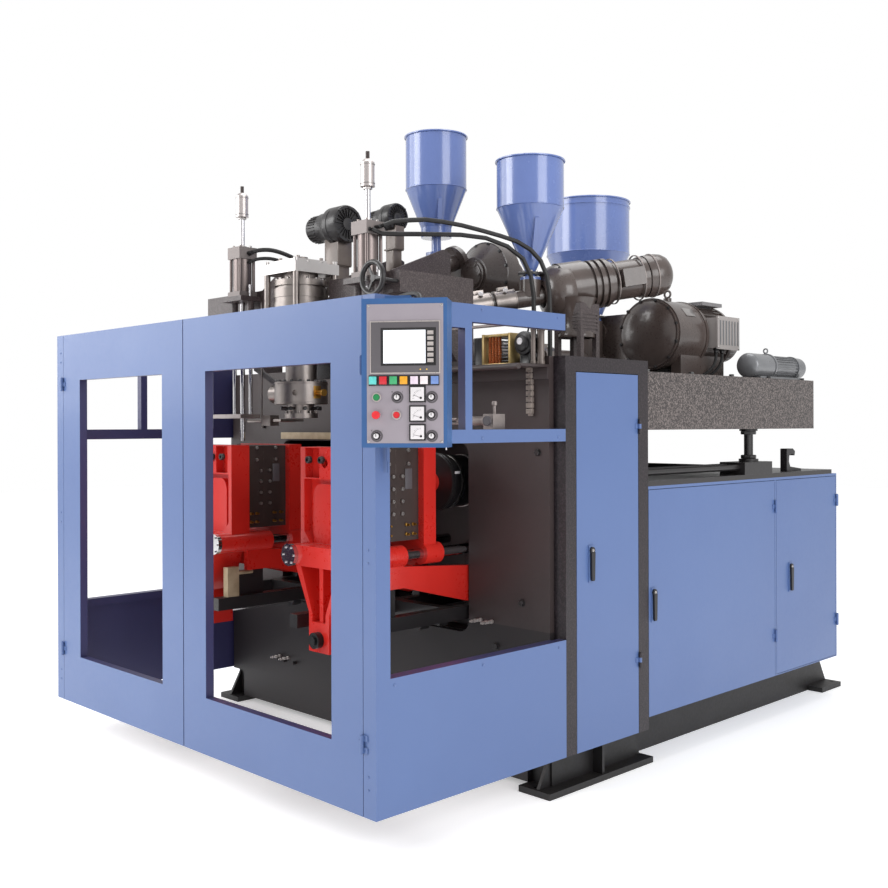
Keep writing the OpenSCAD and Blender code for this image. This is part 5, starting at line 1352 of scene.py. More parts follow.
@dataclass
class ClampStation(Assembly):
    """Screws, tags, nipples and straps of one clamp with its mould."""

    shop: PaintShop
    side: str
    centre: float
    part_y: float = 635.0
    half: float = 185.0

    def mould_screws(self) -> None:
        """Bright socket screws on the sides of both mould halves."""
        heights = (1210, 1265, 1320, 1375)
        top = (1430, 1490)
        front, rear = [], []
        for s in (-1, 1):
            x = self.centre + s * (self.half + 1.7)
            for z in top:
                front.append(stance((x, self.part_y - 45, z), (s, 0, 0)))
                rear.append(stance((x, self.part_y + 70, z), (s, 0, 0)))
            for z in heights:
                front.append(stance((x, self.part_y - 20, z), (s, 0, 0)))
                rear.append(stance((x, self.part_y + 34, z), (s, 0, 0)))
        self.settle(Fixings.set(f"mould_screws_front_{self.side}", Head.SOCKET, 10.0, front),
                    f"clamp_front_{self.side}", Palette.ZINC, "bright_steel")
        self.settle(Fixings.set(f"mould_screws_rear_{self.side}", Head.SOCKET, 10.0, rear),
                    f"clamp_rear_{self.side}", Palette.ZINC, "bright_steel")

    def mould_tags(self) -> None:
        """Blank rating plates and water nipples on the mould sides."""
        tags = []
        for s in (-1, 1):
            x = self.centre + s * (self.half + 1.7)
            low = (min(x, x + s * 1.4), self.part_y + 53, 1318)
            high = (max(x, x + s * 1.4), self.part_y + 95, 1408)
            tags.append(Bench.block("tag", low, high, 0.4))
        self.settle(Bench.joined(f"mould_tags_{self.side}", tags), f"clamp_rear_{self.side}",
                    Palette.BEZEL, "panel_grey")
        nipple = [(0, 0), (7.5, 0), (7.5, 7), (5, 8), (5, 15), (6.2, 16), (4.2, 24), (0, 24)]
        front = [stance((self.centre + s * self.half, self.part_y - y, z), (s, 0, 0))
                 for s in (-1, 1) for y in (78, 46) for z in (1118, 1160)]
        rear = [stance((self.centre + s * self.half, self.part_y + y, z), (s, 0, 0))
                for s in (-1, 1) for y in (100, 60) for z in (1118, 1160)]
        master = Bench.turned("nipple", nipple, IDENTITY, 12)
        self.settle(Bench.repeat(f"water_nipples_front_{self.side}", master, front),
                    f"clamp_front_{self.side}", Palette.BRASS)
        master = Bench.turned("nipple", nipple, IDENTITY, 12)
        self.settle(Bench.repeat(f"water_nipples_rear_{self.side}", master, rear),
                    f"clamp_rear_{self.side}", Palette.BRASS)

    def platen_screws(self) -> None:
        """Socket screws that hold the platens to the moulds."""
        places = [stance((self.centre + x, 420, 1448), (0, -1, 0)) for x in (-150, -60, 60, 150)]
        self.settle(Fixings.set(f"platen_screws_front_{self.side}", Head.SOCKET, 20.0, places),
                    f"clamp_front_{self.side}", Palette.BLACK, "black_paint")
        back = [stance((self.centre + x, 845.2, z), (0, 1, 0))
                for x in (-150, 150) for z in (1160, 1460)]
        self.settle(Fixings.set(f"platen_screws_rear_{self.side}", Head.SOCKET, 20.0, back),
                    f"clamp_rear_{self.side}", Palette.BLACK, "black_paint")

    def cylinder(self) -> None:
        """Straps, flange ribs and tags of the clamp cylinder behind the mould."""
        pose = stance((self.centre, 1090, 1330), (0, 1, 0))
        bands = [Bench.hoop(125.3, 129, y, 16, pose, 48) for y in (22, 130, 330)]
        self.settle(Bench.joined(f"cylinder_straps_{self.side}", bands), f"station_{self.side}",
                    Palette.ZINC)
        ribs = [Bench.hoop(135.3, 139, y, 10, pose, 56, 1.5) for y in (-50, -34)]
        self.settle(Bench.joined(f"cylinder_flange_ribs_{self.side}", ribs),
                    f"station_{self.side}", Palette.BLACK, "black_paint")
        tag = [Bench.block("tag", (self.centre + s * 142 - 2, 1046, 1372),
                           (self.centre + s * 142 + 2, 1080, 1384), 0.4) for s in (-1, 1)]
        self.settle(Bench.joined(f"cylinder_tags_{self.side}", tag), f"station_{self.side}",
                    Palette.WHITE)

    def build(self) -> None:
        """Builds the station's details."""
        self.mould_screws()
        self.mould_tags()
        self.platen_screws()
        self.cylinder()
        if self.side == "left":
            pad = Bench.block("slide_pad", (-330, 405, 760.2), (-290, 470, 905), 3.0,
                              press=((1, 0, 0), 9.0, 2.0))
            rod = Bench.rod("pad_rod", (-310, 470, 872), (-310, 560, 872), 9, 16)
            self.settle(Bench.joined("slide_pad_left", [pad, rod]), "clamp_front_left",
                        Palette.PAD_TAN)


# ---------------------------------------------------------------- head, barrels, drives


@dataclass
class HeadAndBarrels(Assembly):
    """Screws, clamps and wiring of the die head and of the heated barrels."""

    shop: PaintShop
    main_z: float = 2000.0
    main_r: float = 60.0
    band_t: float = 13.0
    sat_r: float = 45.0
    upper_origin: Point = (0.0, 780.0, 2146.0)
    side_origin: Point = (82.0, 720.0, 2070.0)
    upper_tilt: float = 21.3
    side_tilt: float = 9.65
    side_turn: float = 30.0

    def upper(self) -> Matrix:
        """Stance of the upper satellite barrel."""
        a = math.radians(self.upper_tilt)
        return stance(self.upper_origin, (0, math.cos(a), math.sin(a)))

    def lower(self) -> Matrix:
        """Stance of the side satellite barrel."""
        a, t = math.radians(self.side_tilt), math.radians(self.side_turn)
        return stance(
            self.side_origin, (math.sin(t) * math.cos(a), math.cos(t) * math.cos(a), math.sin(a)))

    def clamps(self, name: str, pose: Matrix, radius: float, starts: Sequence[float]) -> None:
        """Bolted lugs, edge beads and terminal domes of a row of heater bands.

        Args:
            name: first part of the pieces' names.
            pose: stance of the barrel, its z axis along it.
            radius: outer radius of the bands in millimetres.
            starts: where each band begins along the barrel.
        """
        beads, screws, domes = [], [], []
        for start in starts:
            for z in (start + 1.5, start + 106):
                beads.append(Bench.hoop(radius + 0.2, radius + 2.4, z, 4.4, pose, 40))
            for z in (start + 42, start + 70):
                spot = pose @ Matrix.Translation(Vector((14.2, radius + 8, z)) * MM)
                screws.append(spot @ Matrix.Rotation(math.radians(90), 4, "Y"))
            spot = pose @ Matrix.Translation(Vector((-40, radius - 8.5, start + 56)) * MM)
            domes.append(spot @ Matrix.Rotation(math.radians(-58), 4, "X")
                         @ Matrix.Rotation(math.radians(-30), 4, "Y"))
        self.fix(Bench.joined(name + "_beads", beads), Palette.STEEL, "bright_steel")
        self.fix(Fixings.set(name + "_screws", Head.HEX, 6.0, screws),
                 Palette.ZINC, "bright_steel")
        dome = Bench.turned("dome", [(0, 0), (13, 0), (13, 8), (10, 15), (0, 18)], IDENTITY, 16)
        self.fix(Bench.repeat(name + "_terminals", dome, domes), Palette.WHITE)

    def head(self) -> None:
        """Screws of the split body, its collar, lower ring and lip."""
        axis = stance((0, 635, 0), (0, 0, 1))
        ring = ring_of(16, 117, axis, 2300.2)
        top = [stance((x, 635 + y, 2378.2), (0, 0, 1)) for x in (-112, 112) for y in (-40, 40)]
        self.fix(Fixings.set("head_collar_screws", Head.SOCKET, 9.0, ring + top),
                 Palette.ZINC, "bright_steel")
        lower = ring_of(18, 116, axis, 1811.2)
        self.fix(Fixings.set("lower_ring_screws", Head.SOCKET, 10.0, lower),
                 Palette.BLACK, "black_paint")
        bands = [Bench.hoop(128.2, 132, z, 43, axis, 64) for z in (2090, 2150, 2215)]
        self.fix(Bench.joined("head_heater_bands", bands), Palette.STEEL, "bright_steel")
        rim = [Bench.hoop(128.2, 130, z, 6, axis, 64) for z in (1708, 1801)]
        self.fix(Bench.joined("lower_ring_beads", rim), Palette.STEEL, "bright_steel")
        adjust = []
        for a in (20, 65, 110, 155, 200, 245, 290, 335):
            c, s = math.cos(math.radians(a)), math.sin(math.radians(a))
            adjust.append(stance((62 * c, 635 + 62 * s, 1684), (c, s, 0)))
        bolt = Bench.turned(
            "bolt", [(0, 0), (7, 0), (7, 26), (10, 26), (10, 36), (8, 38), (0, 38)], IDENTITY, 8)
        self.fix(Bench.repeat("lip_adjusters", bolt, adjust), Palette.BLACK, "black_paint")

    def wiring(self) -> None:
        """Thermocouple leads and heater cables that lie along the barrels."""
        runs = []
        for k in range(4):
            y0 = 900 + 140 * k
            runs.append(
                Bench.cable("lead", [(-30 - 6 * k, y0, 2076), (-46, y0 + 20, 2092),
                (-70, y0 + 60, 2086), (-96, y0 + 120, 2040), (-100, 1300 + 60 * k, 1990),
                (-104, 1560 + 40 * k, 1900)], 4.0))
        for k in range(3):
            x0 = 150 + 60 * k
            runs.append(
                Bench.cable("lead", [(x0, 830 + 104 * k, 2148 + 18 * k),
                (x0 + 12, 850 + 104 * k, 2166 + 18 * k), (x0 - 6, 900 + 104 * k, 2156 + 16 * k),
                (x0 - 50, 980 + 104 * k, 2120), (130, 1200, 2030), (118, 1420, 1930)], 4.0))
        self.fix(Bench.joined("barrel_leads", runs), Palette.RUBBER, "hose_rubber")

    def build(self) -> None:
        """Builds the details of head and barrels."""
        outer = self.main_r + self.band_t
        sat = self.sat_r + self.band_t
        main = stance((0, 0, self.main_z), (0, 1, 0))
        self.clamps("main_bands", main, outer, [830 + 130 * i for i in range(13)])
        self.clamps("upper_bands", self.upper(), sat, [120 + 130 * i for i in range(4)])
        self.clamps("side_bands", self.lower(), sat, [215 + 130 * i for i in range(6)])
        self.head()
        self.wiring()


@dataclass
class Blowers(Assembly):
    """The two cooling blowers over the upper barrel, each with its duct and clamp."""

    shop: PaintShop
    tilt: float = 21.3
    barrel_y: float = 780.0
    barrel_z: float = 2146.0

    def fan(self, name: str, low_x: float, y: float, z: float, radius: float,
            length: float) -> None:
        """One fan: ribbed motor cap, waist, and a drum with a vaned inlet.

        Args:
            name: the fan's name.
            low_x: where the cap starts across the machine.
            y: place along the machine.
            z: height of the axis.
            radius: radius of the drum.
            length: length from cap to inlet.
        """
        pose = stance((low_x, y, z), (1, 0, 0))
        r, n = radius, length
        shape = [(0, 0), (r * 0.62, 0), (r * 0.70, 6), (r * 0.70, n * 0.30), (r * 0.80, n * 0.33),
                 (r * 0.80, n * 0.52), (r * 0.86, n * 0.55), (r * 0.94, n * 0.58), (r, n * 0.62),
                 (r, n * 0.74), (r * 0.97, n * 0.75), (r * 0.97, n * 0.80), (r, n * 0.81),
                 (r, n * 0.96), (r * 0.95, n), (r * 0.82, n), (r * 0.80, n - 9),
                 (r * 0.34, n - 11), (r * 0.32, n - 3), (r * 0.14, n), (0, n)]
        body = Bench.turned("body", shape, pose, 48)
        rib = Bench.block("rib", (-2, -1.6, n * 0.05), (r * 0.055, 1.6, n * 0.27), 0.8, IDENTITY)
        ribs = Bench.repeat("ribs", rib, ring_of(26, r * 0.70, pose))
        vane = Bench.block(
            "vane", (r * 0.33, -1.3, n - 12), (r * 0.81, 1.3, n - 1), 0.6, IDENTITY)
        vanes = Bench.repeat("vanes", vane, ring_of(22, 0, pose))
        bolt = Bench.turned("bolt", [(0, 0), (5, 0), (5, 5), (4, 6), (0, 6)], IDENTITY, 6)
        bolts = Bench.repeat("bolts", bolt, ring_of(8, r * 0.885, pose, n - 0.2))
        whole = Bench.joined(name, [body, ribs, vanes, bolts])
        self.fix(whole, Palette.BLACK, "black_paint")
        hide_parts("barrel_blowers")

    def duct(self, name: str, y: float, along: float, half: float, top: float) -> None:
        """The air duct from a fan down to a clamp ring on the barrel.

        Args:
            name: the duct's name.
            y: place of the duct's middle along the machine.
            along: place of the clamp ring along the barrel.
            half: half width of the duct.
            top: height where the duct meets the fan.
        """
        a = math.radians(self.tilt)
        barrel = stance((0, self.barrel_y, self.barrel_z), (0, math.cos(a), math.sin(a)))
        low = self.barrel_z + (y - self.barrel_y) * math.tan(a) + 72
        ring = Bench.turned("ring", [(45.4, along), (81, along), (81, along + 10),
                                     (45.4, along + 10), (45.4, along)], barrel, 40)
        mid = (low + top) / 2
        parts = [
            ring, Bench.block("lower", (-half, y - half, low), (half, y + half, mid), 4.0),
            Bench.block("flange", (-half - 7, y - half - 7, mid - 4),
            (half + 7, y + half + 7, mid + 4), 1.0), Bench.block("upper", (-half, y - half, mid),
            (half + 18, y + half, top), 6.0, press=((0, -1, 0), 7.0, -2.0))]
        whole = Bench.joined(name, parts)
        self.fix(whole, Palette.DRIVE_TAN, "motor_grey")
        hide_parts("barrel_blowers")

    def build(self) -> None:
        """Builds both blowers."""
        self.fan("front_blower", -165, 850, 2594, 93, 268)
        self.fan("rear_blower", -165, 1240, 2688, 74, 200)
        self.duct("front_blower_duct", 860, 88, 44, 2540)
        self.duct("rear_blower_duct", 1240, 493, 30, 2640)


@dataclass
class Drives(Assembly):
    """Screws, covers, fins and plates on the motors and gear cases."""

    shop: PaintShop
    motor_x: float = 832.0
    motor_z: float = 2090.0
    motor_r: float = 195.0

    def main_motor(self) -> None:
        """Dome, flange screws, seams, cowl ribs, terminal box and leads of the main motor."""
        axis = stance((self.motor_x, 0, self.motor_z), (0, 1, 0))
        rear = stance((self.motor_x, 0, self.motor_z), (0, -1, 0))
        lid = [(0, 34), (60, 32.5), (104, 27), (140, 18), (164, 8), (176, 0.3), (0, 0.3)]
        dome = Bench.turned("motor_front_dome", lid, rear @ Matrix.Translation(
            Vector((0, 0, -2334.8)) * MM), 64)
        self.fix(dome, Palette.DRIVE_BROWN, "black_paint")
        places = ring_of(12, 185, rear, -2334.8, 15)
        self.fix(Fixings.set("motor_flange_screws", Head.HEX, 9.0, places),
                 Palette.BLACK, "black_paint")
        cover = [Bench.hoop(r + 0.2, r + 3, y, 9, axis, 64, 2)
                 for r, y in ((189, 2376), (189, 2596), (173, 2634))]
        self.fix(Bench.joined("motor_seams", cover), Palette.DRIVE_BROWN, "black_paint")
        slots = []
        for k in range(20):
            a = math.radians(k * 18)
            slots.append(axis @ Matrix.Rotation(a, 4, "Z")
                         @ Matrix.Translation(Vector((129, 0, 2960)) * MM))
        fin = Bench.block("fin", (-2, -5, -55), (5, 5, 70), 1.5, IDENTITY)
        self.fix(Bench.repeat("motor_cowl_ribs", fin, slots), Palette.BLACK, "black_paint")
        x = self.motor_x + self.motor_r + 48
        lid = [stance((x + 0.2, y, z), (1, 0, 0)) for y in (2648, 2852) for z in (2023, 2182)]
        self.fix(Fixings.set("terminal_lid_screws", Head.DOME, 8.0, lid), Palette.ZINC)
        ribs = [Bench.block("rib", (x - 0.2, 2660 + 30 * k, 2036), (x + 3.2, 2670 + 30 * k,
                                                                   2170), 1.2) for k in range(7)]
        self.fix(Bench.joined("terminal_lid_ribs", ribs), Palette.PUMP_GREY, "motor_grey")
        gland = Bench.turned("gland", [(0, 0), (16, 0), (16, 10), (12, 12), (12, 24), (7, 30),
                                       (0, 30)], IDENTITY, 12)
        spots = [stance((self.motor_x + 200, y, 2020), (0, 0, -1)) for y in (2690, 2750)]
        self.fix(Bench.repeat("terminal_glands", gland, spots), Palette.BLACK_PLASTIC)
        leads = [
            Bench.cable("lead", [(self.motor_x + 200, y, 1992), (self.motor_x + 202, y, 1960),
            (self.motor_x + 190, y - 20, 1910), (self.motor_x + 150, y - 60, 1862),
            (self.motor_x + 60, y - 90, 1856)], 8.0) for y in (2690, 2750)]
        self.fix(Bench.joined("motor_leads", leads), Palette.RUBBER, "hose_rubber")
        plate = Bench.plate("motor_rating_plate", [(-45, -28), (45, -28), (45, 28), (-45, 28)],
                            1.2, stance((self.motor_x + 148, 2500, self.motor_z + 118),
                                        (0.78, 0, 0.62), (0, 0, 1)), 0.3)
        self.fix(plate, Palette.ZINC)

    def satellites(self) -> None:
        """Screws of the gear cases; dome, neck, cowl and rings of the side drive."""
        rear = stance((144, 0, 2413), (0, -1, 0))
        places = ring_of(12, 178, rear, -1764.6, 15)
        self.fix(Fixings.set("upper_case_screws", Head.HEX, 11.0, places),
                 Palette.BLACK, "black_paint")
        helper = HeadAndBarrels(self.shop)
        side = helper.lower()
        drop = Matrix.Translation(Vector((0, 20, 0)) * MM)
        screws = ring_of(10, 124, side @ drop @ Matrix.Rotation(math.pi, 4, "X"), -1219.6, 18)
        self.fix(Fixings.set("side_case_screws", Head.HEX, 11.0, screws),
                 Palette.BLACK, "black_paint")
        axis = side @ drop
        tail = Bench.turned(
            "side_motor_cowl", [(108.4, 1700), (110, 1704), (110, 1768), (105, 1796), (91, 1821),
            (67, 1839), (34, 1848), (0, 1851)], axis, 48)
        self.fix(tail, Palette.DRIVE_BROWN, "hammertone")
        nose = [(62, 1128), (84, 1132), (106, 1142), (124, 1156), (137, 1174), (144, 1194),
                (147, 1214), (147, 1262), (144, 1266)]
        dome = Bench.turned("side_case_dome", nose, side, 56)
        self.fix(dome, Palette.DRIVE_BROWN, "hammertone")
        foot = [(93, 2040), (95, 2044), (93, 2062), (80, 2078), (76, 2110), (78, 2150),
                (88, 2200),
                (104, 2240)]
        neck = Bench.turned("side_case_neck", foot, stance((785, 1776, 0), (0, 0, 1)), 40)
        self.fix(neck, Palette.DRIVE_BROWN, "hammertone")
        ribs = [Bench.hoop(r + 0.2, r + 5, z, 10, axis, 48, 2)
                for r, z in ((114, 1512), (114, 1656), (110, 1736))]
        self.fix(Bench.joined("side_motor_rings", ribs), Palette.ALUMINIUM)
        gear = [stance((s * 201, y, z), (s, 0, 0))
                for s in (-1, 1) for y in (3020, 3240) for z in (1910, 2270)]
        self.fix(Fixings.set("gearbox_screws", Head.HEX, 16.0, gear),
                 Palette.BLACK, "black_paint")

    def build(self) -> None:
        """Builds the drives' details."""
        self.main_motor()
        self.satellites()


# ---------------------------------------------------------------- hoppers


@dataclass
class Hoppers(Assembly):
    """Rolled rims, weld seams and foot flanges of the three hoppers."""

    shop: PaintShop

    def one(self, name: str, x: float, y: float, radius: float, shoulder: float, rim: float,
            throat: float, throat_r: float, flanged: bool = True) -> None:
        """Details of one hopper.

        Args:
            name: the hopper's name.
            x: place across the machine.
            y: place along the machine.
            radius: radius of the cylinder.
            shoulder: height where cylinder and cone meet.
            rim: height of the rim.
            throat: height of the cone's foot.
            throat_r: radius of the cone's foot.
            flanged: whether the foot has a bolted flange.
        """
        axis = stance((x, y, 0), (0, 0, 1))
        bead = [Bench.hoop(radius + 5.1, radius + 8, rim - 9, 8, axis, 72, 2),
                Bench.hoop(radius + 0.2, radius + 2.6, shoulder - 3, 7, axis, 72, 2)]
        seam = Bench.block("seam", (radius - 1, -3, shoulder + 6), (radius + 1.6, 3, rim - 10),
                           0.8, axis @ Matrix.Rotation(math.radians(200), 4, "Z"))
        self.fix(Bench.joined(name + "_beads", bead + [seam]), Palette.HOPPER_BLUE, "hopper_blue")
        if flanged:
            self.collar(name, axis, throat, throat_r)

    def collar(self, name: str, axis: Matrix, throat: float, throat_r: float) -> None:
        """The bolted flange at a hopper's foot.

        Args:
            name: the hopper's name.
            axis: stance of the hopper's axis.
            throat: height of the cone's foot.
            throat_r: radius of the cone's foot.
        """
        flange = ring_of(8, throat_r + 14, axis, throat + 31)
        collar = Bench.turned(
            name + "_flange", [(throat_r + 0.3, throat + 18), (throat_r + 24, throat + 18),
            (throat_r + 24, throat + 30), (throat_r + 0.3, throat + 30)], axis, 40, 1.0)
        self.fix(collar, Palette.BLACK, "black_paint")
        self.fix(Fixings.set(name + "_flange_screws", Head.HEX, 8.0, flange), Palette.ZINC)

    def build(self) -> None:
        """Builds the details of all three hoppers."""
        self.one("main_hopper", 0, 2880, 258, 2664, 2995, 2250, 84)
        self.one("upper_hopper", 0, 1550, 165, 2878, 3168, 2600, 83, flanged=False)
        self.one("side_hopper", 607, 1629, 171, 2700, 2944, 2345, 40)


# ---------------------------------------------------------------- frame, guards, cabinet


@dataclass
class FrameDetails(Assembly):
    """Welds, screws, seals and small fittings of the frame and its sheet metal."""

    shop: PaintShop
    half: float = 1282.0

    def deck(self) -> None:
        """Weld seams and screws of the raised deck, lock nuts of its lifts."""
        lips = []
        for s in (-1, 1):
            x = s * (self.half - 0.05)
            for z in (1588, 1846):
                low = (min(x, x - s * 2), 1700, z - 2)
                high = (max(x, x - s * 2), 3310, z + 2)
                lips.append(Bench.block("lip", low, high, 0.8))
        self.fix(Bench.joined("deck_weld_lines", lips), Palette.HAMMER, "hammertone")
        screws = [stance((x, y, 1850.2), (0, 0, 1)) for x in (-1240, 1240)
                  for y in (1740, 2120, 2500, 2880, 3260)]
        self.fix(Fixings.set("deck_screws", Head.HEX, 16.0, screws), Palette.BLACK, "black_paint")
        nut = [stance((s * 1207, 2727, z), (0, 0, 1)) for s in (-1, 1) for z in (1416, 1546)]
        collar = Bench.turned(
            "nut", [(24.2, 0), (40, 0), (42, 3), (42, 17), (38, 20), (24.2, 20)], IDENTITY, 8)
        self.fix(Bench.repeat("lift_lock_nuts", collar, nut), Palette.BLACK, "black_paint")

    def guards(self) -> None:
        """Rubber seals round the door windows, hinge and side guard screws, and a cable tie."""
        for name, body, x0, x1 in (("left", "door_left", -1026, -209),
                                   ("right", "door_right", 155, 1026)):
            strips = []
            for low, high in (((x0 - 8, 38.8, 410), (x0, 40.6, 1846)),
                              ((x1, 38.8, 410), (x1 + 8, 40.6, 1846)),
                              ((x0, 38.8, 410), (x1, 40.6, 418)),
                              ((x0, 38.8, 1838), (x1, 40.6, 1846))):
                strips.append(Bench.block("strip", low, high, 0.4))
            self.settle(Bench.joined(f"door_{name}_window_seal", strips), body,
                        Palette.BLACK_PLASTIC)
        screws = []
        for z in (300, 1124, 1960):
            screws += [stance((1240, -0.1, z + d), (0, -1, 0)) for d in (-24, 24)]
            screws += [stance((-1240, -0.1, z + d), (0, -1, 0)) for d in (-24, 24)]
        self.fix(Fixings.set("hinge_screws", Head.DOME, 6.0, screws),
                 Palette.SHEET_BLUE, "blue_paint")
        side = [stance((self.half + 0.1, y, z), (1, 0, 0)) for y in (90, 560, 1030)
                for z in (2056, 1548, 650)]
        self.fix(Fixings.set("side_guard_screws", Head.DOME, 7.0, side),
                 Palette.SHEET_BLUE, "blue_paint")
        tie = Bench.cable("cable_tie", [(1288, 345, 1582), (1292, 350, 1566), (1288, 356, 1548),
                                        (1289, 352, 1528), (1287, 354, 1506)], 2.4)
        self.fix(tie, Palette.WHITE)

    def bulkhead(self) -> None:
        """Bolt heads and water fittings on the bulkhead."""
        bolts = [stance((x, 1049.8, z), (0, -1, 0)) for x, z in
                 ((1056, 813), (-1056, 813), (1150, 1480), (-1150, 1480), (900, 600),
                  (-900, 600), (900, 1600), (-900, 1600))]
        self.fix(Fixings.set("bulkhead_bolts", Head.HEX, 16.0, bolts),
                 Palette.BLACK, "black_paint")
        fitting = Bench.turned("fitting", [(0, 0), (9, 0), (9, 10), (6, 12), (6, 20), (7.5, 21),
                                           (7.5, 28), (5, 30), (5, 38), (0, 38)], IDENTITY, 12)
        spots = [stance((x, 1049.9, 700 + 8 * (i % 2)), (0, -1, 0))
                 for i, x in enumerate((770, 805, 840, 875))]
        spots += [stance((x, 1049.9, 300 + 9 * (i % 2)), (0, -1, 0))
                  for i, x in enumerate((-790, -752, -714, -676))]
        self.fix(Bench.repeat("water_fittings", fitting, spots), Palette.TRIM)

    def cabinet(self) -> None:
        """Lock keys of the swing handles."""
        for name, body, y, z in (("column", "handle_column", 1250, 1048),
                                 ("rear_main", "handle_rear_main", 1724, 812),
                                 ("rear_small", "handle_rear_small", 3040, 812)):
            key = Bench.turned(
                f"lock_key_{name}", [(0, 14.1), (7, 14.1), (7, 16.0), (5.5, 17.4), (0, 17.8)],
                stance((self.half, y, z), (1, 0, 0)), 20)
            self.settle(key, body, Palette.ZINC)

    def build(self) -> None:
        """Builds the details of frame, guards and cabinet."""
        self.deck()
        self.guards()
        self.bulkhead()
        self.cabinet()


# ---------------------------------------------------------------- pneumatics and blow units


@dataclass
class AirDetails(Assembly):
    """Fittings, hoses and plates of the blow units and the pneumatic shelf."""

    shop: PaintShop
    rail_top: float = 1583.0

    def blow_units(self) -> None:
        """Head screws, and silencer rings with a nut, of the two blow cylinders."""
        screws = [stance((s * 500 + dx, 635 + dy, 2520.2), (0, 0, 1))
                  for s in (-1, 1) for dx in (-43, 43) for dy in (-20, 20)]
        self.fix(Fixings.set("blow_head_screws", Head.SOCKET, 8.0, screws), Palette.ZINC)
        for side, x in (("left", -500), ("right", 500)):
            axis = stance((x, 635, 0), (0, 0, 1))
            rings = [Bench.hoop(31.2, 33.4, z, 6, axis, 32) for z in (2692, 2778)]
            rings.append(Bench.turned("nut", [(12.7, 2668), (20, 2668), (21, 2670), (21, 2677),
                                              (20, 2679), (12.7, 2679)], axis, 6))
            self.settle(Bench.joined(f"silencer_rings_{side}", rings), f"blow_{side}",
                        Palette.ZINC, "bright_steel")

    def hold(self, piece: bpy.types.Object, finish: Finish, slot: str = "bright_steel") -> None:
        """Settles a piece of the shelf and lets it stand for the plain node."""
        self.fix(piece, finish, slot)
        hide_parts("pneumatics")

    def shelf(self) -> None:
        """Ledge on the bulkhead with its rolled nose, and the rail over it."""
        ledge = [Bench.block("ledge", (560, 860, 1850), (1215, 1049.7, 1862), 1.5),
                 Bench.rod("nose", (560, 853, 1849), (1215, 853, 1849), 13, 20),
                 Bench.block("web", (560, 1040, 1800), (1215, 1049.7, 1850), 1.5)]
        ledge += [
            Bench.plate("gusset", [(0, 0), (150, 0), (0, -46)], 8,
            stance((x, 1045, 1850), (1, 0, 0), (0, 0, 1)), 0.8) for x in (600, 880, 1190)]
        self.hold(Bench.joined("shelf_ledge", ledge), Palette.BULKHEAD, "hammertone")
        rail = [Bench.rod("rail", (566, 875, 2030), (1212, 875, 2030), 7, 16)]
        rail += [Bench.block("post", (x, 867, 1862), (x + 12, 883, 2038), 1.2)
                 for x in (580, 760)]
        self.hold(Bench.joined("shelf_rail", rail), Palette.ALUMINIUM)

    def exchanger(self) -> None:
        """Brass frame with its fins, upright copper coils and black end box."""
        parts = [Bench.block("post", (x, 960, 1862), (x + 13, 1045, 2004), 1.2)
                 for x in (900, 1058)]
        parts += [Bench.block("bar", (913, 960, z), (1058, 1045, z + 11), 1.2)
                  for z in (1862, 1991)]
        self.hold(Bench.joined("exchanger_frame", parts), Palette.PALE_BRASS)
        fins = [Bench.block("fin", (1014, 966, z), (1057.7, 1040, z + 6), 0.8)
                for z in range(1880, 1986, 14)]
        fins.append(Bench.block("end_box", (846, 966, 1862), (898, 1045, 1992), 2.0,
                                press=((0, -1, 0), 6.0, -2.0)))
        self.hold(Bench.joined("exchanger_fins", fins), Palette.BLACK_PLASTIC)
        tubes = []
        for x in (928, 948, 968, 988):
            axis = stance((x, 985, 0), (0, 0, 1))
            tubes.append(
                Bench.turned("tube", [(0, 1873), (7, 1873), (7, 1991), (0, 1991)], axis, 14))
            tubes += [Bench.hoop(7.1, 9, z, 5.5, axis, 14, 1.5) for z in range(1879, 1985, 10)]
        self.hold(Bench.joined("exchanger_coils", tubes), Palette.COPPER)

    def round_unit(self) -> None:
        """Black round unit with its gauge, and the two upright cylinders beside it."""
        axis = stance((1132, 1049, 1955), (0, -1, 0))
        case = Bench.turned(
            "round_unit", [(0, 0), (44, 0), (47, 3), (47, 52), (52, 55), (52, 72), (49, 77),
            (38, 80), (36, 86), (32, 89), (0, 90)], axis, 48)
        ribs = [Bench.block("rib", (45, -2, 6), (51, 2, 50), 1.0, axis @ Matrix.Rotation(
            math.radians(a), 4, "Z")) for a in range(0, 360, 24)]
        foot = Bench.block(
            "foot", (1104, 985, 1862), (1160, 1040, 1912), 2.0, press=((0, -1, 0), 6.0, -3.0))
        self.hold(Bench.joined("round_unit", [case, foot] + ribs), Palette.BLACK_PLASTIC)
        gauge = Bench.turned(
            "round_unit_gauge", [(0, 90.1), (15, 90.1), (15, 93), (12, 94), (11, 92.5),
            (0, 92.5)], axis @ Matrix.Translation(Vector((-5, 8, 0)) * MM), 28)
        self.hold(gauge, Palette.WHITE)
        cylinders = []
        for x, y, r in ((1194, 1020, 16), (1198, 965, 10)):
            cylinders.append(Bench.turned("cylinder", [
                (0, 1862), (r, 1862), (r + 2, 1864), (r + 2, 1876), (r, 1878), (r, 2004),
                (r + 2, 2006), (r + 2, 2020), (r * 0.5, 2024), (r * 0.5, 2034), (0, 2034)],
                stance((x, y, 0), (0, 0, 1)), 28))
        self.hold(Bench.joined("shelf_cylinders", cylinders), Palette.DRIVE_TAN)
        leads = [
            Bench.cable("lead", [(1194 + 4 * k, 1020 - 55 * k, 2030),
            (1192 + 4 * k, 1018 - 50 * k, 2052), (1176, 1012 - 30 * k, 2060), (1150, 1006, 2044),
            (1138, 1004, 2022), (1134, 1003, 2002)], 4.0) for k in range(2)]
        self.fix(Bench.joined("shelf_leads", leads), Palette.RUBBER, "hose_rubber")

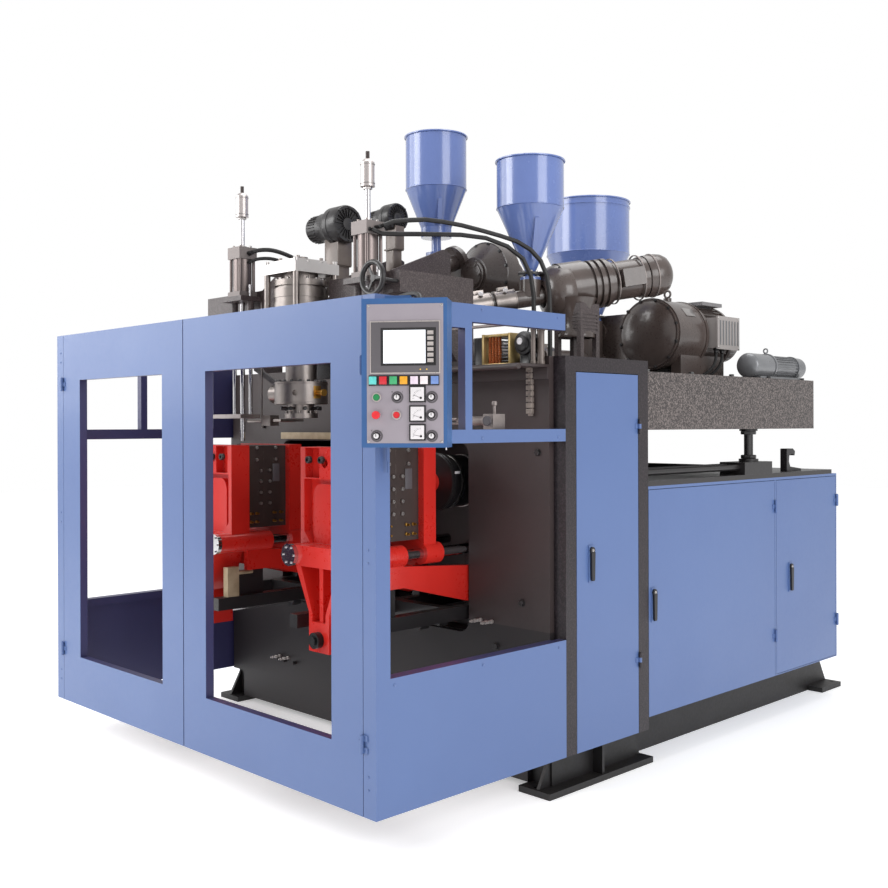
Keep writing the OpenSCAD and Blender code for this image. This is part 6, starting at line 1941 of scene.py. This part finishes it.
    def chain_and_valve(self) -> None:
        """Cable chain, valve block with its pipes and bracket, and the trough."""
        links = [Bench.block("back", (1104, 1038, 1640), (1126, 1049.7, 1850), 1.0)]
        links += [Bench.block("link", (1100, 1028, z), (1130, 1049.7, z + 20), 2.5,
                              press=((0, -1, 0), 4.0, -3.0)) for z in range(1650, 1833, 26)]
        self.hold(Bench.joined("cable_chain", links), Palette.CHAIN)
        top = self.rail_top
        valve = [
            Bench.block("body", (1180, 672, top), (1236, 744, 1646), 3.0,
            press=((0, -1, 0), 8.0, 2.0)), Bench.turned("stem", [(0, 0), (6, 0), (6, 36),
            (11, 38), (11, 50), (8, 54), (0, 54)], stance((1210, 708, 1645), (0, 0, 1)), 20),
            Bench.turned("bowl", [(0, 0), (20, 0), (22, 4), (22, 30), (19, 34), (19, 132),
            (22, 136), (22, 160), (16, 168), (9, 170), (9, 182), (0, 182)],
            stance((1181, 708, 1618), (-1, 0, 0)), 32)]
        self.hold(Bench.joined("air_valve", valve), Palette.ALUMINIUM)
        dial = Bench.turned(
            "air_valve_gauge", [(0, 0), (21, 0), (21, 9), (18, 11), (17, 9.5), (0, 9.5)],
            stance((1208, 669.8, 1617), (0, -1, 0)), 32)
        self.hold(dial, Palette.BEZEL)
        pipes = [
            Bench.cable("pipe", [(1000, y, z), (900, y, z), (866, y + 6, z), (852, y + 40, z),
            (850, y + 100, z), (850, 1049, z)], 5.5) for y, z in ((700, 1626), (716, 1608))]
        self.fix(Bench.joined("valve_pipes", pipes), Palette.ALUMINIUM, "bright_steel")
        shelf = [Bench.block("arm", (1150, 670, top - 30), (1239.7, 750, top), 1.5)]
        self.hold(Bench.joined("valve_bracket", shelf), Palette.BULKHEAD, "hammertone")
        trough = Bench.block("scrap_trough", (-700, 1020, 1528), (-250, 1049.7, 1564), 1.5,
                             press=((0, 0, 1), 3.0, -30.0))
        self.hold(trough, Palette.PAD_TAN)

    def unit_hose(self) -> None:
        """Hose from the left blow unit over to the cradle of the upper barrel."""
        for k, (dz, r) in enumerate(((0, 11.0), (-44, 9.0))):
            hose = Bench.cable(f"left_unit_hose_{k + 1}", [
                (-446, 640, 2486 + dz), (-420, 644, 2494 + dz), (-380, 665, 2502 + dz),
                (-330, 710, 2500 + dz), (-285, 790, 2470 + dz), (-255, 880, 2420 + dz),
                (-236, 970, 2360 + dz), (-222, 1060, 2318 + dz), (-206, 1130, 2296 + dz),
                (-191, 1160, 2290 + dz)], r)
            self.fix(hose, Palette.RUBBER, "hose_rubber")

    def build(self) -> None:
        """Builds the air details."""
        self.blow_units()
        self.shelf()
        self.exchanger()
        self.round_unit()
        self.chain_and_valve()
        self.unit_hose()


def write_sizes() -> None:
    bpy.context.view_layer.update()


def main() -> None:
    """Builds the studio, paints the frame and adds every sub-assembly."""
    logging.basicConfig(level=logging.INFO, format="%(message)s")
    shop = PaintShop()
    Studio().build(shop)
    FramePaint(shop).build()
    ControlPanel(shop).build()
    ClampStation(shop, "left", -500.0).build()
    ClampStation(shop, "right", 500.0).build()
    HeadAndBarrels(shop).build()
    Blowers(shop).build()
    Drives(shop).build()
    Hoppers(shop).build()
    FrameDetails(shop).build()
    AirDetails(shop).build()
    write_sizes()


if __name__ == "__main__":
    main()
